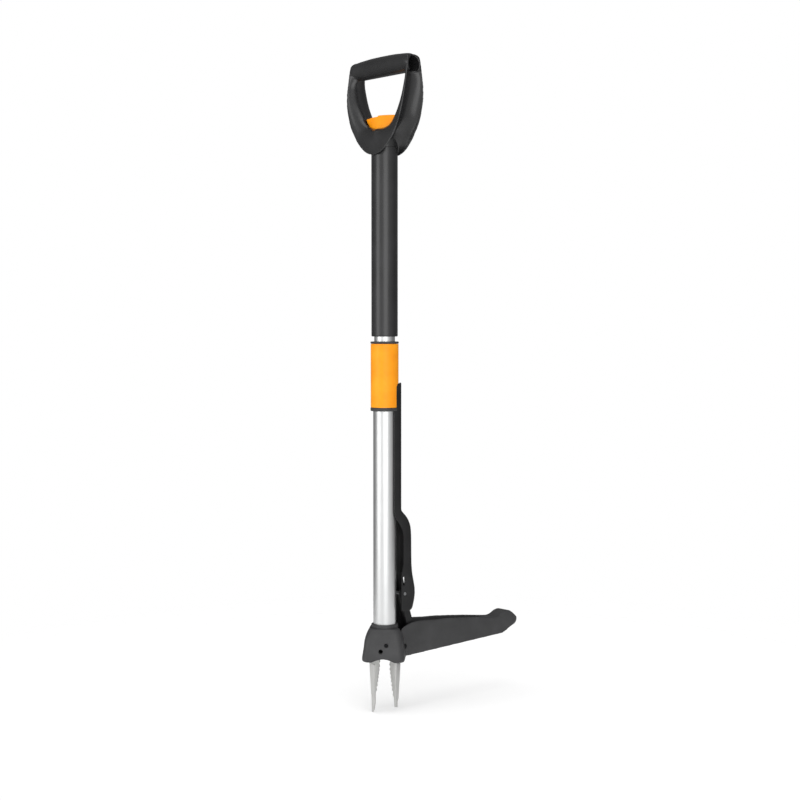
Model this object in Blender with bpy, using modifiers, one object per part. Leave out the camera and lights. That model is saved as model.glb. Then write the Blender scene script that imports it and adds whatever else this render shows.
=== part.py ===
"""A long-handled weed puller standing upright at rest, with its claws down and open.

The tool's own frame has its Z axis on the shaft, z = 0 at the lowest claw tips and the pedal
towards +X. Sizes are in millimetres and become metres through MM.
"""

import math

import bmesh
import bpy
from mathutils import Matrix, Vector

MM = 0.001

# Fits
GAP = 0.3                   # between pieces that touch or slide on each other
LOOSE = 0.5                 # around a pin that must float
PIN_SEGMENTS = 20
ROUND_SEGMENTS = 40

# Overall sizes
TOOL_HEIGHT = 985.0         # top of the grip, over the lowest claw tips
PEDAL_TIP_X = 273.8         # far end of the pedal, from the shaft's axis

# Shaft tubes
TUBE_R = 17.25              # lower tube, outside
TUBE_WALL = 1.2
TUBE_TOP_Z = 553.0
INNER_WALL = 1.3            # telescoping tube
INNER_BOTTOM_Z = 300.0
UPPER_WALL = 3.9            # black tube over the telescoping tube
UPPER_BOTTOM_Z = 566.5
UPPER_TOP_DEPTH = 137.0     # below the top of the grip
TUBE_END_STEP = 1.0         # the telescoping tube stops short of the black tube's top
END_ROUND = 1.0             # taken off the end edges of the black tube
BUSH_HEIGHT = 3.0
SLIDE_FIT = 0.45            # telescoping tube in the lower tube

# Ejector sleeve and rod
SLEEVE_WALL = 3.35
SLEEVE_BOTTOM_Z = 460.0
SLEEVE_TOP_Z = 555.5
RING_EXTRA_R = 0.4
TOP_RING_HEIGHT = 3.2
BOTTOM_RING_HEIGHT = 5.0
ROD_TOP_Z = 493.0
ROD_WALL = 2.2
ROD_CORNER_R = 9.5
ROD_SIDE_PLAY = 0.05        # between the flanges and the tube's widest line
ROD_BACK_PLAY = 2.05        # between the channel's floor and the back of the tube
ROD_FRONT_X = 3.5           # front edges of the flanges where the channel hugs the tube
# Height, how far the front edges stand back, and how far the back face stands out, both
# measured from the part of the channel that hugs the tube, from the lower end upwards
ROD_COURSE = (
    (155.0, 16.0, 22.5),
    (157.0, 15.0, 23.7),
    (161.0, 14.5, 24.8),
    (176.0, 14.5, 27.1),
    (191.0, 14.5, 25.3),
    (205.0, 14.5, 22.1),
    (220.0, 14.5, 20.4),
    (260.0, 14.5, 19.9),
    (269.0, 13.0, 19.5),
    (276.0, 9.0, 18.1),
    (284.0, 3.3, 15.2),
    (292.0, 0.2, 7.8),
    (300.0, 0.0, 3.0),
    (307.0, 0.0, 0.0),
    (ROD_TOP_Z, 0.0, 0.0),
)
ROD_SLOT_BEHIND = 4.75      # see-through slot in the flanges, behind the tube
ROD_SLOT_WIDTH = 3.6
ROD_SLOT_Z = (190.0, 203.0)
ROD_WINDOW_Y = (4.0, 10.8)
ROD_SCREW_Z = 477.0
SCREW_R = 1.5
SCREW_HEAD_R = 3.0
SCREW_HEAD_HEIGHT = 1.6

# Link between the rod and the pedal
LINK_END_R = 6.0
LINK_TOP_PLAY = 0.75        # between the link's upper end and the tube
LINK_TOP_Z = 177.0
LINK_FOOT = (44.0, 113.0)
LINK_PLAY = 2.1             # between the link's plates and the pedal's walls
LINK_WALL = 3.0
LINK_PIN_R = 2.5

# Foot of the shaft
COLLAR_WALL = 2.85
COLLAR_BOTTOM_Z = 106.0
COLLAR_TOP_Z = 132.4
TUBE_BOTTOM_Z = 112.3
FOOT_HALF_WIDTH = 9.0
FOOT_BOTTOM_Z = 93.5
FOOT_FRONT_X = -8.0
FOOT_PIN_R = 2.5
FOOT_PIN_Z = 121.0

# Pivot between the foot and the pedal
PIVOT = (24.0, 97.0)
PIVOT_R = 3.6
BARREL_WALL = 3.4           # of the foot, round the pivot pin
BOSS_WALL = 2.9             # of the pedal, round the pivot pin

# Pedal housing: a rounded square bell with its corners on the axes
BELL_WALL = 3.0
BELL_CORNER_R = 10.0
# Height, and how far the flats stand out from the shaft's collar
BELL_PROFILE = (
    (78.0, 10.0),
    (79.2, 11.1),
    (82.6, 12.0),
    (91.6, 10.8),
    (100.6, 9.45),
    (109.6, 8.5),
    (118.7, 6.0),
    (123.0, 4.1),
    (127.0, 2.2),
)
ARCH_TOP_Z = 83.2           # arch in the lower edge of each flat
ARCH_HALF_WIDTH = 16.5
COLLAR_ROOM = 0.6           # between the collar and the bell's rim
LEAN_ROOM = 7.8             # how far the rim is opened towards the pedal for the lean
LEAN_BOTTOM_Z = 104.5
BELL_ROOM_TOP_Z = 124.0
FACE_HOLE_R = 3.2           # round hole in the two front flats
FACE_HOLE_Z = 94.6
FACE_HOLE_SHIFT = -3.4
CARRIER_SCREW_Z = 103.6
CARRIER_SCREW_SHIFT = 4.8
CARRIER_SCREW_SINK = 1.3    # of its head's seat, into the bell's flat
CARRIER_SCREW_SHORT = 0.8   # of its tip, from the inside of the carrier's leg

# Pedal
PEDAL_WALL = 2.8
PEDAL_FLOOR = 3.0
PEDAL_HALF_AT_HEAD = 19.6
PEDAL_HALF_AT_PAD = 12.5
PEDAL_PAD_REACH = 48.8      # from the tip back to the middle of the foot pad
PEDAL_HEAD_X = 25.0
PEDAL_CHANNEL_X = 10.0      # where the hollow under the top starts
PEDAL_SOLID_END = 73.8      # from the tip back to where the hollow ends
PEDAL_EDGE = 1.4
# Underside: from the shaft's axis at the head, and back from the tip at the toe
PEDAL_HEAD_UNDER = ((6.0, 84.0), (28.0, 81.7))
PEDAL_TOE_UNDER = (37.8, 89.3)
# Outline of the toe and the foot pad, back from the tip
PEDAL_TOE = (
    (32.8, 91.0),
    (22.8, 95.6),
    (12.8, 100.3),
    (5.8, 102.2),
    (1.4, 103.1),
    (0.0, 105.0),
    (2.2, 107.6),
    (7.8, 110.5),
    (18.8, 116.5),
    (29.8, 122.0),
    (37.8, 124.6),
    (44.8, 125.0),
    (52.8, 124.2),
    (60.8, 122.6),
    (67.8, 120.8),
    (73.8, 120.4),
    (101.8, 123.2),
)
# Outline of the top at the head, from the shaft's axis
PEDAL_HEAD_TOP = (
    (118.0, 128.3),
    (91.0, 129.6),
    (70.0, 131.3),
    (47.0, 132.0),
    (35.0, 130.6),
    (24.0, 127.2),
    (13.0, 121.5),
    (6.0, 116.0),
)
# Plan of the toe: back from the tip, and how much narrower than the pad each side is
PEDAL_TIP_PLAN = ((11.8, 1.2), (5.0, 3.6), (-3.0, 8.5))

# Claws and their carrier
CLAW_PIVOT_R = 30.0         # distance of the claw pins from the axis
CLAW_PIVOT_Z = 84.0
CLAW_PIN_R = 2.0
CLAW_PIN_LENGTH = 16.0
CLAW_EAR_R = 4.3
CLAW_THICK = 2.2
CLAW_NUB_R = 2.0
CLAW_ARM_R = 8.0            # where the nub of the inner arm sits
CLAW_TOOTH = 1.2
CLAW_TOOTH_PITCH = 7.0
CLAW_FLANGE_TOP = 8.5
CLAW_FLANGE_TIP = 6.5
CLAW_TIP_R = 24.5
CLAW_TOP_R = 27.0
SIDE_CLAW_LIFT = 8.0        # the left and right claws end higher
SLOT_PLAY = 0.4
CARRIER_BOTTOM_Z = 79.5
CARRIER_TOP_Z = 89.0
CARRIER_BORE_R = 11.0
LEG_TOP_Z = 111.0
LEG_ROOM = 1.2              # between the carrier's legs and the shaft's collar
LEG_HALF_WIDTH = 9.5

# Plunger
PLUNGER_R = 10.2
PLUNGER_CORE_R = 5.5
PLUNGER_BOTTOM_Z = 79.6
GROOVE_HALF = 2.6
FLANGE_THICK = 1.8
TONGUE_HALF_X = 6.5
TONGUE_HALF_Y = 4.0
TONGUE_TOP_Z = 101.5
TONGUE_LEAN_ROOM = 2.7      # before and behind the tongue, for the foot's lean
TONGUE_TOP_ROOM = 2.6
PLUNGER_PIN_R = 2.5

# D-handle
GRIP_HEIGHT = 31.5
GRIP_HALF_WIDTH = 14.2
# Distance from the middle of the grip, and the grip's height there
GRIP_STATIONS = (
    (0.0, GRIP_HEIGHT),
    (25.0, 31.0),
    (42.0, 29.6),
    (53.0, 28.0),
    (60.0, 26.0),
    (64.5, 22.8),
    (67.0, 18.9),
)
GRIP_ROUND_FROM = 26.0      # where the grip is lower than this it also grows narrower
GRIP_ROUND_SHARE = 0.12
GRIP_SEGMENTS = 28
NECK_WALL = 2.2             # round the black tube
ARM_WALL = 2.8
# Each station gives the outer rim point and the inner crest point, as the distance from the
# middle and the depth below the top, then how much narrower than the neck each side is and the
# wall at the crest, from the top of one arm down to the middle of the D
ARM_STATIONS = (
    (58.0, 5.0, 43.0, 15.0, 15.5, 2.8),
    (62.5, 7.5, 45.0, 16.5, 12.5, 2.8),
    (66.0, 12.5, 48.0, 18.5, 10.4, 2.8),
    (68.4, 20.0, 52.0, 24.5, 9.0, 2.8),
    (69.6, 29.5, 55.6, 33.0, 7.9, 2.8),
    (70.0, 38.5, 57.0, 40.0, 6.8, 2.8),
    (70.0, 49.0, 55.0, 49.5, 5.4, 2.8),
    (69.2, 61.0, 51.3, 60.0, 4.6, 3.0),
    (67.0, 73.5, 46.3, 70.5, 4.1, 4.4),
    (63.2, 86.0, 40.2, 80.5, 3.9, 7.0),
    (58.3, 98.0, 34.0, 89.6, 3.6, 9.2),
    (52.2, 109.0, 27.6, 97.2, 3.2, 9.8),
    (45.0, 119.4, 21.0, 102.8, 2.5, 10.9),
    (37.0, 129.0, 14.8, 105.8, 1.7, 13.6),
    (28.0, 137.4, 9.4, 107.5, 0.8, 19.2),
    (15.0, 145.4, 4.4, 108.3, 0.1, 25.5),
    (0.0, 149.0, 0.0, 108.5, 0.0, 27.5),
)
TROUGH_TOP_STATION = 4      # the arms are hollow from this station down
ARM_SEGMENTS = 10
ARM_FULLNESS = 2.3          # 2 gives half-ellipses, more gives squarer sections
# Distance from the middle, half width, half height and depth of the axis of the grip's bore
BORE_SECTIONS = (
    (0.0, 9.7, 9.2, 18.1),
    (52.0, 9.7, 9.8, 18.6),
    (62.0, 9.9, 10.8, 19.6),
    (74.0, 10.4, 12.0, 21.2),
)
SPIGOT_LENGTH = 22.0        # of the handle, inside the telescoping tube
SPRING_WELL_DEPTH = 6.0     # below the top of the black tube

# Lock button and what it moves
BUTTON_HALF_X = 8.0
BUTTON_TOP_DEPTH = 91.8     # below the top of the grip
BUTTON_TRAVEL = 4.5
BUTTON_FIT = 0.4
# Underside of the button: distance from the middle and depth below its top
BUTTON_UNDER = (
    (36.4, 1.4),
    (33.6, 5.6),
    (28.0, 11.8),
    (21.0, 17.4),
    (13.0, 21.8),
    (6.0, 23.8),
    (0.0, 24.2),
)
POCKET_RISE = 30.0          # the pocket is open this far above the button
TIP_SPREAD = 1.3            # the pocket's margin at the tips, against its margin elsewhere
STEM_R = 6.6
STEM_WELL_FIT = 0.6
STEM_DEPTH = 33.5           # below the button's top
ROD_R = 2.5
ROD_SOCKET_DEPTH = 10.0     # below the button's top
SPRING_WIRE_R = 0.8
SPRING_R = 4.7
SPRING_TURNS = 6
COLLET_SEAT = 18.0          # of the collet, inside the telescoping tube
COLLET_SKIRT = 15.0         # of the collet, below the telescoping tube
COLLET_SLOT = 2.0
COLLET_THROAT_FIT = 1.5     # round the lock rod
COLLET_FLARE = 5.0
WEDGE_DROP = 15.0           # bottom of the wedge below the bottom of the collet
WEDGE_TOP = 8.0             # top of the wedge above the bottom of the collet
WEDGE_SOCKET = 6.0          # bottom of the lock rod over the bottom of the wedge
WEDGE_NARROW = 3.9
WEDGE_FIT = 0.6

# Values that follow from the ones above
TUBE_BORE = TUBE_R - TUBE_WALL
INNER_R = TUBE_BORE - SLIDE_FIT
INNER_BORE = INNER_R - INNER_WALL
UPPER_R = INNER_R + GAP + UPPER_WALL
SLEEVE_BORE = TUBE_R + GAP
SLEEVE_R = SLEEVE_BORE + SLEEVE_WALL
RING_R = SLEEVE_R + RING_EXTRA_R
ROD_HALF_WIDTH = TUBE_R + ROD_SIDE_PLAY + ROD_WALL
ROD_BACK_X = TUBE_R + ROD_BACK_PLAY + ROD_WALL
ROD_SECTIONS = [(z, ROD_FRONT_X + front, ROD_BACK_X + back) for z, front, back in ROD_COURSE]
ROD_SLOT_X = TUBE_R + ROD_SLOT_BEHIND
LINK_TOP = (TUBE_R + LINK_TOP_PLAY + LINK_END_R, LINK_TOP_Z)
COLLAR_R = TUBE_R + GAP + COLLAR_WALL
LEG_INNER = COLLAR_R + LEG_ROOM
BARREL_R = PIVOT_R + BARREL_WALL
BOSS_R = PIVOT_R + BOSS_WALL
BELL_LEVELS = [(z, COLLAR_R + out) for z, out in BELL_PROFILE]
BELL_REACH = (max(a for _, a in BELL_LEVELS) - BELL_CORNER_R) * math.sqrt(2) + BELL_CORNER_R
SHAFT_X = -(PEDAL_TIP_X - BELL_REACH) / 2
DIAGONALS = (math.radians(225), math.radians(135))
PEDAL_PAD_X = PEDAL_TIP_X - PEDAL_PAD_REACH
PEDAL_CHANNEL_END = PEDAL_TIP_X - PEDAL_SOLID_END
PEDAL_BOTTOM = (*PEDAL_HEAD_UNDER, (PEDAL_TIP_X - PEDAL_TOE_UNDER[0], PEDAL_TOE_UNDER[1]))
PEDAL_TOP = [(PEDAL_TIP_X - x, z) for x, z in PEDAL_TOE] + list(PEDAL_HEAD_TOP)
GRIP_UNDER_Z = TOOL_HEIGHT - GRIP_HEIGHT
UPPER_TOP_Z = TOOL_HEIGHT - UPPER_TOP_DEPTH
INNER_TOP_Z = UPPER_TOP_Z - TUBE_END_STEP
NECK_HALF = UPPER_R + NECK_WALL
SPIGOT_BOTTOM_Z = UPPER_TOP_Z - SPIGOT_LENGTH
SPRING_WELL_Z = UPPER_TOP_Z - SPRING_WELL_DEPTH
BUTTON_TOP_Z = TOOL_HEIGHT - BUTTON_TOP_DEPTH
STEM_BOTTOM_Z = BUTTON_TOP_Z - STEM_DEPTH
ROD_SOCKET_Z = BUTTON_TOP_Z - ROD_SOCKET_DEPTH
COLLET_BOTTOM_Z = INNER_BOTTOM_Z - COLLET_SKIRT
COLLET_TOP_Z = INNER_BOTTOM_Z + COLLET_SEAT
WEDGE_BOTTOM_Z = COLLET_BOTTOM_Z - WEDGE_DROP

# Rotations that stand a flat outline up
SIDE_ON = Matrix(((1, 0, 0, 0), (0, 0, -1, 0), (0, 1, 0, 0), (0, 0, 0, 1)))
FACE_ON = Matrix(((0, 0, 1, 0), (1, 0, 0, 0), (0, 1, 0, 0), (0, 0, 0, 1)))


# Scene and bookkeeping
def clear_scene():
    for obj in list(bpy.data.objects):
        bpy.data.objects.remove(obj)
    for collection in list(bpy.data.collections):
        bpy.data.collections.remove(collection)


def new_collection(name):
    collection = bpy.data.collections.new(name)
    bpy.context.scene.collection.children.link(collection)
    return collection


clear_scene()
PARTS = new_collection("weed_puller")
CUTTERS = new_collection("weed_puller_cutters")
FRAME = bpy.data.objects.new("tool_frame", None)
PARTS.objects.link(FRAME)
FRAME.location = (SHAFT_X * MM, 0, 0)


def put(name, mesh, cutter=False):
    """An object of the tool's frame, either a piece or a hidden cutter."""
    obj = bpy.data.objects.new(name, mesh)
    (CUTTERS if cutter else PARTS).objects.link(obj)
    obj.parent = FRAME
    if cutter:
        obj.hide_render = True
        obj.display_type = "WIRE"
    return obj


def mesh_from(name, work):
    bmesh.ops.recalc_face_normals(work, faces=work.faces)
    mesh = bpy.data.meshes.new(name)
    work.to_mesh(mesh)
    work.free()
    return mesh


def vector(point):
    return Vector(point) * MM


# Shapes
def box(name, low, high, cutter=False, turn=0.0):
    """A box between two corners, turned about the shaft axis."""
    work = bmesh.new()
    size = [b - a for a, b in zip(low, high)]
    middle = [(a + b) / 2 for a, b in zip(low, high)]
    place = Matrix.Rotation(turn, 4, "Z") @ Matrix.Translation(vector(middle))
    bmesh.ops.create_cube(work, size=1.0, matrix=place @ Matrix.Diagonal((*vector(size), 1.0)))
    return put(name, mesh_from(name, work), cutter)


def cylinder(name, start, end, radius, segments=PIN_SEGMENTS, end_radius=None, cutter=False):
    """A round bar or cone between two points."""
    work = bmesh.new()
    start, end = vector(start), vector(end)
    along = end - start
    place = Matrix.Translation((start + end) / 2) @ along.to_track_quat("Z", "Y").to_matrix().to_4x4()
    last = radius if end_radius is None else end_radius
    bmesh.ops.create_cone(
        work,
        cap_ends=True,
        segments=segments,
        radius1=radius * MM,
        radius2=last * MM,
        depth=along.length,
        matrix=place,
    )
    return put(name, mesh_from(name, work), cutter)


def turned(name, profile, closed=False, segments=ROUND_SEGMENTS, cutter=False):
    """A turned piece. The profile gives radius and height, down the outer side first."""
    work = bmesh.new()
    points = [work.verts.new(vector((r, 0.0, z))) for r, z in profile]
    for a, b in zip(points, points[1:]):
        work.edges.new((a, b))
    if closed:
        work.edges.new((points[-1], points[0]))
    mesh = bpy.data.meshes.new(name)
    work.to_mesh(mesh)
    work.free()
    obj = put(name, mesh, cutter)
    screw = obj.modifiers.new("turn", "SCREW")
    screw.axis = "Z"
    screw.angle = math.tau
    screw.steps = segments
    screw.render_steps = segments
    screw.use_merge_vertices = True
    screw.merge_threshold = 0.00001
    return obj


def tube(name, outer, inner, bottom, top, round_by=0.0, cutter=False):
    """A plain ring or tube, with the outer edges of its ends taken off."""
    if round_by:
        side = [(outer - round_by, top), (outer, top - round_by)]
        side += [(outer, bottom + round_by), (outer - round_by, bottom)]
    else:
        side = [(outer, top), (outer, bottom)]
    return turned(name, side + [(inner, bottom), (inner, top)], closed=True, cutter=cutter)


def loft(name, rings, cutter=False):
    """A skin over sections with the same number of points, closed at both ends."""
    work = bmesh.new()
    rows = [[work.verts.new(vector(point)) for point in ring] for ring in rings]
    count = len(rows[0])
    for lower, upper in zip(rows, rows[1:]):
        for i in range(count):
            j = (i + 1) % count
            work.faces.new((lower[i], lower[j], upper[j], upper[i]))
    work.faces.new(rows[0])
    work.faces.new(rows[-1])
    return put(name, mesh_from(name, work), cutter)


def plate(name, outlines, thickness, place, cutter=False):
    """A flat outline with its holes, given a thickness about its own plane."""
    curve = bpy.data.curves.new(name, "CURVE")
    curve.dimensions = "2D"
    curve.fill_mode = "BOTH"
    curve.extrude = thickness * MM / 2
    for outline in outlines:
        spline = curve.splines.new("POLY")
        spline.points.add(len(outline) - 1)
        for point, (x, y) in zip(spline.points, outline):
            point.co = (x * MM, y * MM, 0.0, 1.0)
        spline.use_cyclic_u = True
    guide = bpy.data.objects.new(name + "_outline", curve)
    CUTTERS.objects.link(guide)
    graph = bpy.context.evaluated_depsgraph_get()
    mesh = bpy.data.meshes.new_from_object(guide.evaluated_get(graph))
    bpy.data.objects.remove(guide)
    bpy.data.curves.remove(curve)
    work = bmesh.new()
    work.from_mesh(mesh)
    bmesh.ops.remove_doubles(work, verts=work.verts, dist=0.000001)
    bmesh.ops.transform(work, matrix=place, verts=work.verts)
    bpy.data.meshes.remove(mesh)
    return put(name, mesh_from(name, work), cutter)


def arc(centre, radius, start, end, count):
    """Points on a circle from one angle to another, in degrees."""
    points = []
    for i in range(count + 1):
        angle = math.radians(start + (end - start) * i / count)
        points.append((centre[0] + radius * math.cos(angle), centre[1] + radius * math.sin(angle)))
    return points


def boolean(obj, other, operation="DIFFERENCE"):
    modifier = obj.modifiers.new(other.name, "BOOLEAN")
    modifier.operation = operation
    modifier.solver = "EXACT"
    modifier.object = other
    return obj


def join(obj, other):
    return boolean(obj, other, "UNION")


def keep(obj, other):
    return boolean(obj, other, "INTERSECT")


def bevel(obj, width, segments=2, angle=30):
    modifier = obj.modifiers.new("edges", "BEVEL")
    modifier.width = width * MM
    modifier.segments = segments
    modifier.limit_method = "ANGLE"
    modifier.angle_limit = math.radians(angle)
    return obj


def seat(obj, x, y, z):
    """Puts the object's origin on its joint axis and leaves its shape where it is."""
    offset = vector((x, y, z))
    obj.data.transform(Matrix.Translation(-offset))
    obj.location = offset


def across(name, x, z, half, radius, cutter=False, segments=PIN_SEGMENTS):
    """A pin or drilling that runs from side to side."""
    return cylinder(name, (x, -half, z), (x, half, z), radius, segments, cutter=cutter)


# Shaft tubes
def make_shaft():
    lower = tube("lower_tube", TUBE_R, TUBE_BORE, TUBE_BOTTOM_Z, TUBE_TOP_Z)
    drill = across("foot_pin_hole", 0, FOOT_PIN_Z, COLLAR_R + 5, FOOT_PIN_R + GAP, cutter=True)
    boolean(lower, drill)
    bush_bottom = TUBE_TOP_Z + GAP
    tube("end_bush", TUBE_R, INNER_R + GAP, bush_bottom, bush_bottom + BUSH_HEIGHT, 0.6)
    tube("inner_tube", INNER_R, INNER_BORE, INNER_BOTTOM_Z, INNER_TOP_Z)
    tube("upper_tube", UPPER_R, INNER_R + GAP, UPPER_BOTTOM_Z, UPPER_TOP_Z, END_ROUND)

    foot = turned(
        "shaft_foot",
        [
            (0, TUBE_BOTTOM_Z - GAP),
            (TUBE_R + GAP, TUBE_BOTTOM_Z - GAP),
            (TUBE_R + GAP, COLLAR_TOP_Z),
            (COLLAR_R - 0.8, COLLAR_TOP_Z),
            (COLLAR_R, COLLAR_TOP_Z - 0.8),
            (COLLAR_R, COLLAR_BOTTOM_Z),
            (0, COLLAR_BOTTOM_Z),
        ],
    )
    web = box(
        "foot_web",
        (FOOT_FRONT_X, -FOOT_HALF_WIDTH, FOOT_BOTTOM_Z),
        (PIVOT[0], FOOT_HALF_WIDTH, COLLAR_BOTTOM_Z + 1),
        cutter=True,
    )
    join(foot, web)
    join(foot, across("foot_barrel", *PIVOT, FOOT_HALF_WIDTH, BARREL_R, True, 32))
    slot_half = TONGUE_HALF_X + TONGUE_LEAN_ROOM
    slot_low = (-slot_half, -TONGUE_HALF_Y - GAP, FOOT_BOTTOM_Z - 5)
    slot_high = (slot_half, TONGUE_HALF_Y + GAP, TONGUE_TOP_Z + TONGUE_TOP_ROOM)
    boolean(foot, box("foot_slot", slot_low, slot_high, cutter=True))
    boolean(foot, across("pivot_hole", *PIVOT, 40, PIVOT_R + GAP, True))
    boolean(foot, across("plunger_pin_hole", 0, PIVOT[1], 12, PLUNGER_PIN_R + GAP, True))
    boolean(foot, drill)
    across("foot_pin", 0, FOOT_PIN_Z, COLLAR_R - 0.3, FOOT_PIN_R)
    across("plunger_pin", 0, PIVOT[1], FOOT_HALF_WIDTH - 0.2, PLUNGER_PIN_R)


# D-handle
def arm_sections(margin, first, inside):
    """Rounded half-sections along one arm, over the middle and up the other arm."""
    half = []
    for rim_y, rim_depth, crest_y, crest_depth, narrower, wall in ARM_STATIONS[first:]:
        rim = Vector((0.0, rim_y, TOOL_HEIGHT - rim_depth))
        crest = Vector((0.0, crest_y, TOOL_HEIGHT - crest_depth))
        inward = (crest - rim).normalized()
        deep = (crest - rim).length - (wall if inside else 0.0)
        wide = NECK_HALF - narrower - (ARM_WALL if inside else 0.0)
        ring = []
        for i in range(ARM_SEGMENTS + 1):
            angle = math.pi * i / ARM_SEGMENTS - math.pi / 2
            share_in = abs(math.cos(angle)) ** (2 / ARM_FULLNESS)
            share_out = math.copysign(abs(math.sin(angle)) ** (2 / ARM_FULLNESS), angle)
            ring.append(rim + inward * deep * share_in + Vector((wide * share_out, 0, 0)))
        if margin:
            ring.append(rim - inward * margin + Vector((wide, 0, 0)))
            ring.append(rim - inward * margin - Vector((wide, 0, 0)))
        half.append(ring)
    other = [[Vector((p.x, -p.y, p.z)) for p in ring] for ring in reversed(half[:-1])]
    return half + other


def ellipse_ring(y, wide, high, middle):
    """A ring round the grip, with one facet of it facing straight down."""
    ring = []
    for i in range(GRIP_SEGMENTS):
        angle = math.tau * (i + 0.5) / GRIP_SEGMENTS - math.pi / 2
        ring.append((wide * math.cos(angle), y, middle + high * math.sin(angle)))
    return ring


def grip_sections():
    """Ellipses along the grip: flat underneath, with a crown and rounded ends."""
    flat = math.cos(math.pi / GRIP_SEGMENTS)
    rings = []
    for y, high in GRIP_STATIONS:
        wide = GRIP_HALF_WIDTH - max(0.0, GRIP_ROUND_FROM - high) * GRIP_ROUND_SHARE
        half = high / (1 + flat)
        rings.append(ellipse_ring(y, wide, half, GRIP_UNDER_Z + half * flat))
    return [[(x, -y, z) for x, y, z in ring] for ring in reversed(rings[1:])] + rings


def make_handle():
    handle = loft("d_handle", arm_sections(0, 0, False))
    join(handle, loft("grip_body", grip_sections(), cutter=True))
    boolean(handle, loft("arm_trough", arm_sections(6, TROUGH_TOP_STATION, True), cutter=True))
    bore = [ellipse_ring(y, wide, high, TOOL_HEIGHT - depth) for y, wide, high, depth in BORE_SECTIONS]
    bore = [[(x, -y, z) for x, y, z in ring] for ring in reversed(bore[1:])] + bore
    boolean(handle, loft("grip_bore", bore, cutter=True))
    neck = cylinder(
        "neck_room",
        (0, 0, SPIGOT_BOTTOM_Z - 20),
        (0, 0, UPPER_TOP_Z + GAP),
        UPPER_R + GAP,
        ROUND_SEGMENTS,
        cutter=True,
    )
    boolean(handle, neck)
    middle_rim, middle_crest, middle_wall = (ARM_STATIONS[-1][i] for i in (1, 3, 5))
    spigot_top = TOOL_HEIGHT - middle_crest - middle_wall + 2
    spigot = cylinder(
        "handle_spigot",
        (0, 0, SPIGOT_BOTTOM_Z),
        (0, 0, spigot_top),
        INNER_BORE - GAP,
        ROUND_SEGMENTS,
        cutter=True,
    )
    join(handle, spigot)
    boolean(handle, button_outline("button_pocket", BUTTON_FIT, BUTTON_TRAVEL + BUTTON_FIT, True))
    pocket_floor = BUTTON_TOP_Z - BUTTON_UNDER[-1][1] - BUTTON_TRAVEL
    well = cylinder(
        "spring_well",
        (0, 0, SPRING_WELL_Z),
        (0, 0, pocket_floor + 5),
        STEM_R + STEM_WELL_FIT,
        32,
        cutter=True,
    )
    boolean(handle, well)
    hole_ends = ((0, 0, SPIGOT_BOTTOM_Z - 5), (0, 0, SPRING_WELL_Z + 5))
    boolean(handle, cylinder("rod_hole", *hole_ends, ROD_R + LOOSE, cutter=True))


def button_outline(name, margin, drop, cutter):
    """The crescent of the button, or its pocket when given a margin and a drop."""
    top = BUTTON_TOP_Z + (POCKET_RISE if cutter else 0.0)
    spread = margin * TIP_SPREAD
    right = [(BUTTON_UNDER[0][0] + spread, top)]
    right += [(y + spread * (y > 0), BUTTON_TOP_Z - depth - drop) for y, depth in BUTTON_UNDER]
    outline = right + [(-y, z) for y, z in reversed(right[:-1])]
    return plate(name, [outline], 2 * (BUTTON_HALF_X + margin), FACE_ON, cutter)


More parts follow.
